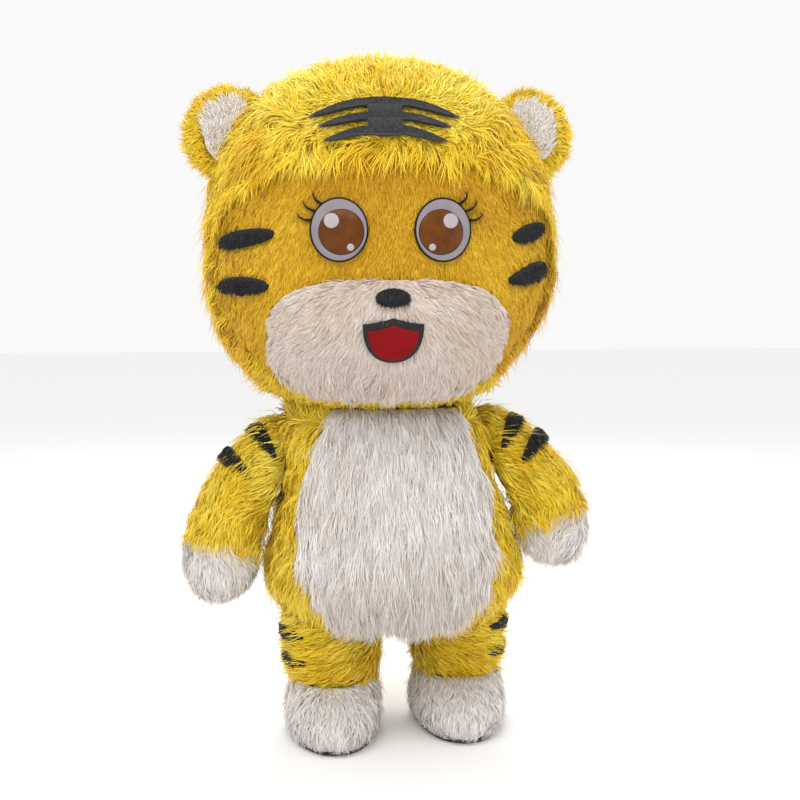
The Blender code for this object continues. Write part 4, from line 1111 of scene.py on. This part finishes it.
def top_of(name):
    """A bmesh of the faces of a thin patch that look out from the panel under it."""
    bm = merged(name)
    under = []
    for face in bm.faces:
        centre = face.calc_center_median()
        near, normal, _, _ = SURFACE.find_nearest(centre)
        if face.normal.dot(normal) <= 0.5 or (centre - near).dot(normal) <= PATCH_TOP:
            under.append(face)
    bmesh.ops.delete(bm, geom=under, context="FACES")
    return bm


def rim_of(name):
    """The corners round the top of a patch, in order."""
    bm = top_of(name)
    left = [e for e in bm.edges if e.is_boundary]
    loops = []
    while left:
        start, vert = left.pop(0).verts
        loop = [start]
        while vert != start:
            loop.append(vert)
            onward = [e for e in vert.link_edges if e in left]
            if not onward:
                break
            left.remove(onward[0])
            vert = onward[0].other_vert(vert)
        loops.append(loop)
    points = [v.co.copy() for v in max(loops, key=len)]
    bm.free()
    return points


def smoothed_outline(points, count):
    lengths = [0.0]
    for a, b in zip(points, points[1:] + points[:1]):
        lengths.append(lengths[-1] + (b - a).length)
    found = []
    for step in range(count):
        target = lengths[-1] * step / count
        index = max(i for i in range(len(points)) if lengths[i] <= target)
        span = lengths[index + 1] - lengths[index]
        found.append(catmull(points, index + (target - lengths[index]) / span))
    return found


# %% Ringed pieces
def face_towards(bm, direction):
    """Makes the faces agree, and turns them all if most of them look away from the direction."""
    bmesh.ops.recalc_face_normals(bm, faces=bm.faces)
    if sum((f.normal.dot(direction) for f in bm.faces), 0.0) < 0:
        bmesh.ops.reverse_faces(bm, faces=bm.faces)


def ringed_mesh(name, rings, top, direction):
    """A sewn-on piece: a skirt and rings of points round it, closed by a fan at the top point."""
    bm = bmesh.new()
    loops = [[bm.verts.new(point) for point in ring] for ring in rings]
    peak = bm.verts.new(top)
    for low, high in zip(loops, loops[1:]):
        for a, b, c, d in zip(low, low[1:] + low[:1], high[1:] + high[:1], high):
            bm.faces.new((a, b, c, d))
    last = loops[-1]
    for a, b in zip(last, last[1:] + last[:1]):
        bm.faces.new((a, b, peak))
    face_towards(bm, direction)
    return to_mesh(name, bm, smooth=True)


def add_piece(name, mesh, material, replaced=()):
    piece = show(name, mesh, material)
    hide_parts(*replaced)
    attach(piece, SUIT)
    return piece


# %% [markdown]
# ## Black plush
# The pads are cropped plush: dull black, with a soft grey sheen where the light rakes over it. Short
# black strands grow from their tops.

# %% Black pads
def velvet_material(name, dark, light, grain_size, sheen):
    grain = (grain_size, 3.0, 0.7)
    return grained_material(name, [(0.35, dark), (0.70, light)], grain, (grain, 0.6, 0.0012), {
        "Roughness": 0.75, "Sheen Weight": sheen, "Sheen Roughness": 0.35})


BLACK_PLUSH = velvet_material("black_plush", rgb(9, 9, 11), rgb(26, 26, 30), 0.0035, 0.15)
PAD_RINGS = (
    # share of the outline, height above the panel
    (1.00, -0.0160),
    (1.00, -0.0010),
    (0.985, 0.0024),
    (0.93, 0.0044),
    (0.80, 0.0060),
    (0.55, 0.0070),
    (0.28, 0.0076),
)
PAD_CREST = 0.0078


def lay_on_panels(point, height):
    place, normal, _, _ = SURFACE.find_nearest(point)
    return place + normal * height


def build_pads():
    pads = {}
    for name in STRIPES + ["nose"]:
        outline = smoothed_outline(rim_of(name), PAD_POINTS)
        middle = sum(outline, Vector()) / len(outline)
        rings = [[lay_on_panels(middle.lerp(p, share), height) for p in outline]
                 for share, height in PAD_RINGS]
        normal = SURFACE.find_nearest(middle)[1]
        mesh = ringed_mesh(name + "_pad", rings, lay_on_panels(middle, PAD_CREST), normal)
        pads[name] = add_piece(name + "_pad", mesh, BLACK_PLUSH, (name,))
    print("pads", len(pads))
    return pads


PADS = build_pads()

# %% Short pile on the pads
PAD_COMBS = {"arm": comb_sleeve, "leg": comb_leg, "cheek": comb_face, "nose": comb_muzzle}
PAD_LENGTHS = {"arm": 0.014, "leg": 0.014, "cheek": 0.011, "nose": 0.008}
PAD_PILE = {"Density": 62000.0, "Width": 0.0024, "Root Lean": 1.0, "Tip Lean": 1.45, "Swirl": 0.4,
            "Stray": 0.25, "Lock Size": 0.012, "Lock Pull": 0.3, "Tufts": 0.5}
FIRST_PAD_SEED = 301


def store(mesh, name, kind, values):
    layer = mesh.attributes.new(name, kind, "POINT")
    layer.data.foreach_set("vector" if kind == "FLOAT_VECTOR" else "value", values)


def make_bed(mesh, comb_at):
    """Gives each corner of a pad what the pile's tree reads. Nothing grows on the pad's skirt."""
    out, comb, thick = [], [], []
    for vert in mesh.vertices:
        place, normal = SURFACE.find_nearest(vert.co)[:2]
        out.extend(normal)
        comb.extend(comb_at(vert.co)[0])
        thick.append(float((vert.co - place).dot(normal) > 0))
    store(mesh, "out", "FLOAT_VECTOR", out)
    store(mesh, "comb", "FLOAT_VECTOR", comb)
    store(mesh, "thick", "FLOAT", thick)
    for name, value in (("long", 1.0), ("pale", 0.0), ("bare", 0.0)):
        store(mesh, name, "FLOAT", [value] * len(thick))


def grow_on_pads():
    total = 0
    for index, (name, pad) in enumerate(PADS.items()):
        kind = name.split("_")[0]
        make_bed(pad.data, PAD_COMBS[kind])
        settings = {**BASE_PILE, **PAD_PILE, "Length": PAD_LENGTHS[kind]}
        pile = grow(name + "_pile", pad, "black_pile", settings, FIRST_PAD_SEED + index)
        drop_helpers(pad.data)
        total += triangles(pile.data)
    print("pile on the pads", total, "triangles")


grow_on_pads()

# %% [markdown]
# ## The cloth sheets
# Every panel is a sheet of plush that hangs on the air inside. The area, the smaller of the shell's own
# and its flat size, is worked out but not kept. The pile goes with its sheet. The shell gets its
# thickness only now, so that the pile could grow on one side of it.

# %% Sheets
CLOTH_THICKNESS = 0.002


def thicken(obj):
    modifier = obj.modifiers.new("cloth", "SOLIDIFY")
    modifier.thickness = CLOTH_THICKNESS
    modifier.offset = -1
    mesh = evaluated_mesh(obj)
    obj.modifiers.remove(modifier)
    thin = obj.data
    obj.data = mesh
    bpy.data.meshes.remove(thin)


def declare_sheets():
    for name, _, _, _, _, finish, (width, length) in PANELS:
        shell = SHELLS[name]
        area = sum(p.area for p in shell.data.polygons)
        thicken(shell)
        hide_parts(name)
        min(area, width * length)
        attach(shell, SUIT)


declare_sheets()

# %% [markdown]
# ## Eyes
# Each eye is a disc of pale cloth with a fine black outline, and a round of glossy brown film on it.
# White spots are printed on the film as highlights. Three tapering lashes are sewn on above.

# %% Following the front
FRONT = Vector((0, -1, 0))
SEAM_REACH = 0.0008
SKIRT = 0.014
DISC_POINTS = 72
DISC_RINGS = 8
DISC_FACE = 0.985
DISC_EDGE = (
    # share of the outline, how far behind the disc's face
    (1.0, 0.0012),
    (0.994, 0.0003),
    (DISC_FACE, 0.0),
)


def front_surface(x, z, lift=0.0):
    """The front of the panels at this x and z, also where the ray would slip through a seam."""
    hits = []
    for shift in (-SEAM_REACH, SEAM_REACH):
        place = SURFACE.ray_cast(Vector((x + shift, -2, z)), Vector((0, 1, 0)))[0]
        if place is not None and place.y < 0:
            hits.append(place)
    depth = sum(place.y for place in hits) / len(hits)
    return Vector((x, depth, z)) + FRONT * lift


def front_piece(name, outline, middle, profile, crest):
    """A piece with this (x, z) outline that follows the front of the head, in (share, lift) rings."""
    rings = []
    for share, lift in profile:
        rings.append([front_surface(middle[0] + (x - middle[0]) * share,
                                    middle[1] + (z - middle[1]) * share, lift) for x, z in outline])
    return ringed_mesh(name, rings, front_surface(*middle, crest), FRONT)


def front_disc(name, middle, radii, height, crown, rings=DISC_RINGS):
    """A disc or oval with a rounded edge and a skirt behind it."""
    angles = [2 * math.pi * i / DISC_POINTS for i in range(DISC_POINTS)]
    outline = [(middle[0] + radii[0] * math.cos(a), middle[1] + radii[1] * math.sin(a)) for a in angles]
    profile = [(1.0, -SKIRT)]
    profile += [(share, height - drop) for share, drop in DISC_EDGE]
    for k in range(1, rings):
        share = 1 - k / rings
        profile.append((DISC_FACE * share, height + crown * (1 - share ** 2)))
    return front_piece(name, outline, middle, profile, height + crown)


# %% Eye finishes
def cloth_material(name, colour, shade, roughness):
    return grained_material(name, [(0.35, shade), (0.65, colour)], (0.05, 2.0),
                            ((0.0012, 2.0), 0.35, 0.0005),
                            {"Roughness": roughness, "Specular IOR Level": 0.2})


EYE_CLOTH = cloth_material("eye_cloth", rgb(140, 132, 136), rgb(130, 123, 127), 0.6)
OUTLINE = cloth_material("eye_outline", rgb(16, 16, 20), rgb(26, 26, 30), 0.5)
HIGHLIGHT = cloth_material("eye_highlight", rgb(174, 165, 168), rgb(166, 157, 160), 0.5)
FILM = grained_material("brown_film", [(0.3, rgb(86, 47, 12)), (0.7, rgb(104, 60, 18))], (0.03, 3.0),
                        ((0.018, 1.0), 0.25, 0.002),
                        {"Roughness": 0.22, "Specular IOR Level": 0.15, "Coat Weight": 0.1,
                         "Coat Roughness": 0.06})

# %% Lashes
LASHES = (
    # start angle from straight up, end angle, end distance
    (36, 52, 0.042),
    (54, 69, 0.046),
    (72, 86, 0.046),
)
LASH_STEPS = 10
LASH_ROOT = 0.99
LASH_WIDTH = 0.0072
LASH_TAPER = 0.9
LASH_TAPER_POWER = 1.5
LASH_CURL = 16
LASH_PROFILE = (
    # share of the half width, lift
    (-1, -0.010),
    (-1, 0.0044),
    (0, 0.0056),
    (1, 0.0044),
    (1, -0.010),
)


def lash_mesh(name, eye, side):
    """Three curved tapering bars above the outer corner, as one mesh."""
    x0, z0, half_width, half_height = eye[:4]
    shares = [k / LASH_STEPS for k in range(LASH_STEPS + 1)]
    bm = bmesh.new()
    for start, end, reach in LASHES:
        middles = []
        for t in shares:
            angle = math.radians(start + (end - start) * t - LASH_CURL * t * t)
            grow_out = LASH_ROOT + reach / half_height * t
            middles.append(Vector((x0 + side * half_width * grow_out * math.sin(angle), 0,
                                   z0 + half_height * grow_out * math.cos(angle))))
        lines = []
        for k, (t, middle) in enumerate(zip(shares, middles)):
            ahead = middles[min(k + 1, LASH_STEPS)] - middles[max(k - 1, 0)]
            across = Vector((ahead.z, 0, -ahead.x)).normalized()
            half = LASH_WIDTH / 2 * (1 - LASH_TAPER * t ** LASH_TAPER_POWER)
            spots = [(middle + across * half * share, lift) for share, lift in LASH_PROFILE]
            lines.append([bm.verts.new(front_surface(spot.x, spot.z, lift)) for spot, lift in spots])
        for low, high in zip(lines, lines[1:]):
            for a, b, c, d in zip(low, low[1:], high[1:], high):
                bm.faces.new((a, b, c, d))
    face_towards(bm, FRONT)
    return to_mesh(name, bm)


# %% Eye pieces
EYES = (
    # name, towards which side, then middle x, z, half width, half height, iris x, z, radius
    ("left", 1, (0.1203, 1.500, 0.078, 0.086, 0.1143, 1.494, 0.061)),
    ("right", -1, (-0.1577, 1.500, 0.078, 0.086, -0.1517, 1.494, 0.061)),
)
OUTLINE_WIDTH = 0.0045
FILM_EDGE = 0.0018
SPOTS = (
    # how far out from the iris's middle towards the ear, how far up, radius
    (0.026, 0.030, 0.0200),
    (-0.024, -0.040, 0.0095),
)
SPOT_RINGS = 3


def build_eye(name, side, eye):
    x0, z0, half_width, half_height, iris_x, iris_z, radius = eye
    inner = (half_width - OUTLINE_WIDTH, half_height - OUTLINE_WIDTH)
    inside = radius - FILM_EDGE
    discs = (
        # piece, middle, radii, height, crown, finish, slot, what it stands for
        (f"eye_{name}_outline", (x0, z0), (half_width, half_height), 0.0044, 0.0, OUTLINE,
         "black_pile", ()),
        (f"eye_{name}_ring", (x0, z0), inner, 0.0050, 0.0004, EYE_CLOTH, "eye_cloth",
         (f"eye_{name}",)),
        (f"iris_{name}_edge", (iris_x, iris_z), (radius, radius), 0.0058, 0.0, OUTLINE,
         "black_pile", ()),
        (f"iris_{name}_film", (iris_x, iris_z), (inside, inside), 0.0062, 0.0020, FILM,
         "brown_film", (f"iris_{name}",)),
    )
    for title, middle, radii, height, crown, finish, slot, replaced in discs:
        add_piece(title, front_disc(title, middle, radii, height, crown), finish, replaced)
    for index, (out, up, size) in enumerate(SPOTS):
        title = f"eye_{name}_spot_{index}"
        middle = (iris_x + side * out, iris_z + up)
        mesh = front_disc(title, middle, (size, size), 0.0084, 0.0003, SPOT_RINGS)
        add_piece(title, mesh, HIGHLIGHT)
    title = f"eye_{name}_lashes"
    add_piece(title, lash_mesh(title, eye, side), OUTLINE)


for name, side, eye in EYES:
    build_eye(name, side, eye)
print("eyes", len(EYES))

# %% [markdown]
# ## Mouth
# The mouth is a crimson bowl with a cupid's bow above it, edged by a black band. Both are flat cloth
# sewn on the muzzle. The lining's outline is the band's, moved inwards.

# %% Mouth pieces
MOUTH_X = HEAD.x
MOUTH_Z = 1.219
MOUTH_HALF = 0.081
MOUTH_CORNER = 0.034
MOUTH_DEEP = 0.100
MOUTH_BOW = 0.016
MOUTH_BAND = 0.0145
MOUTH_TOP_SHARE = 1.3
MOUTH_RINGS = 5
MOUTH_FACE = 0.99
MOUTH_EDGE = 0.0006
BOW_STEPS = 24
BOW_POWER = 1.6
BOWL_STEPS = 48
BOWL_DEPTH = 0.78
BOWL_POWERS = (0.9, 0.85)


def mouth_line(inset):
    """The mouth's outline, this far inside the outer edge."""
    half = MOUTH_HALF - inset
    corner = MOUTH_CORNER - inset * MOUTH_TOP_SHARE
    deep = MOUTH_DEEP - inset
    points = []
    for k in range(BOW_STEPS):
        share = -1 + 2 * k / BOW_STEPS
        points.append((share * half, corner + MOUTH_BOW * (1 - abs(share)) ** BOW_POWER))
    for k in range(BOWL_STEPS):
        angle = math.pi * k / BOWL_STEPS
        x = half * math.copysign(abs(math.cos(angle)) ** BOWL_POWERS[0], math.cos(angle))
        drop = (deep + corner) * BOWL_DEPTH * math.sin(angle) ** BOWL_POWERS[1]
        points.append((x, corner - drop))
    return [(MOUTH_X + x, MOUTH_Z + z) for x, z in points]


def mouth_piece(name, inset, height):
    outline = mouth_line(inset)
    middle = [sum(values) / len(outline) for values in zip(*outline)]
    profile = [(1.0, -SKIRT), (1.0, height - MOUTH_EDGE)]
    profile += [(MOUTH_FACE * (1 - k / MOUTH_RINGS), height) for k in range(MOUTH_RINGS)]
    return front_piece(name, outline, middle, profile, height)


RED_CLOTH = cloth_material("red_cloth", rgb(138, 6, 20), rgb(120, 4, 16), 0.8)
add_piece("mouth_band", mouth_piece("mouth_band", 0.0, 0.0052), BLACK_PLUSH,
          ("mouth_edge",))
add_piece("mouth_lining", mouth_piece("mouth_lining", MOUTH_BAND, 0.0066), RED_CLOTH,
          ("mouth",))
print("mouth", round(2 * MOUTH_HALF, 3), "metres wide")

# %% [markdown]
# ## Brow mark
# The crown carries a mark of tiger stripes: a broad stem with three curved bars on each side. It is cut
# from black plush with a very short nap, whose grey grain is partly painted sheen. Its shape is its
# solid's own top, lifted a little, with a skirt down to the cloth.

# %% Brow mark piece
BROW_LIFT = 0.0045
BROW_SKIRT = 0.011


def lifted(point, height):
    """A point moved away from the panel under it."""
    return point + SURFACE.find_nearest(point)[1] * height


def brow_mesh():
    bm = top_of("brow_mark")
    for vert in bm.verts:
        vert.co = lifted(vert.co, BROW_LIFT)
    for face in bm.faces:
        face.smooth = True
    rim = [e for e in bm.edges if e.is_boundary]
    for edge in rim:
        edge.smooth = False
    skirt = bmesh.ops.extrude_edge_only(bm, edges=rim)["geom"]
    for vert in [g for g in skirt if isinstance(g, bmesh.types.BMVert)]:
        vert.co = lifted(vert.co, -BROW_SKIRT)
    face_towards(bm, FRONT)
    return to_mesh("brow_velvet", bm)


# The grain's pale grey stop is partly painted sheen on the black plush.
BROW_VELVET = velvet_material("brow_velvet", rgb(20, 20, 22), rgb(58, 60, 61), 0.006, 0.4)
add_piece("brow_velvet", brow_mesh(), BROW_VELVET, ("brow_mark",))

# %% [markdown]
# ## Hard fittings
# The zip's tape, its slider and pull, the air inlet and the soles keep the shape of their solids. They
# only get finishes here.

# %% Fittings
DARKER = 0.85
FITTING_GRAIN = (0.003, 3.0)
FITTING_FINISHES = (
    # slot, nodes, colour, roughness, metallic, depth of the grain
    ("zip_tape", ("zip_tape",), rgb(196, 150, 30), 0.8, 0.0, 0.0005),
    ("zip_metal", ("zip_slider", "zip_pull"), rgb(170, 172, 176), 0.3, 1.0, 0.0),
    ("grey_plastic", ("air_inlet",), rgb(70, 72, 76), 0.45, 0.0, 0.0002),
    ("sole_cloth", ("sole_left", "sole_right"), rgb(60, 60, 64), 0.85, 0.0, 0.0006),
)


def finish_fittings():
    for slot, names, colour, roughness, metallic, depth in FITTING_FINISHES:
        darker = tuple(DARKER * value for value in colour)
        relief = (FITTING_GRAIN, 0.4, depth) if depth else None
        finish = grained_material(slot, [(0.3, darker), (0.7, colour)], FITTING_GRAIN, relief,
                                  {"Roughness": roughness, "Metallic": metallic})
        for name in names:
            NODES[name].data.materials.clear()
            NODES[name].data.materials.append(finish)


finish_fittings()

# %% [markdown]
# ## Clearing up
# The strand templates and the cover mesh were only tools.

# %% Finish
for helper in (CURLED, PLAIN, COVER):
    bpy.data.objects.remove(helper)
bpy.context.scene.view_settings.view_transform = "Standard"
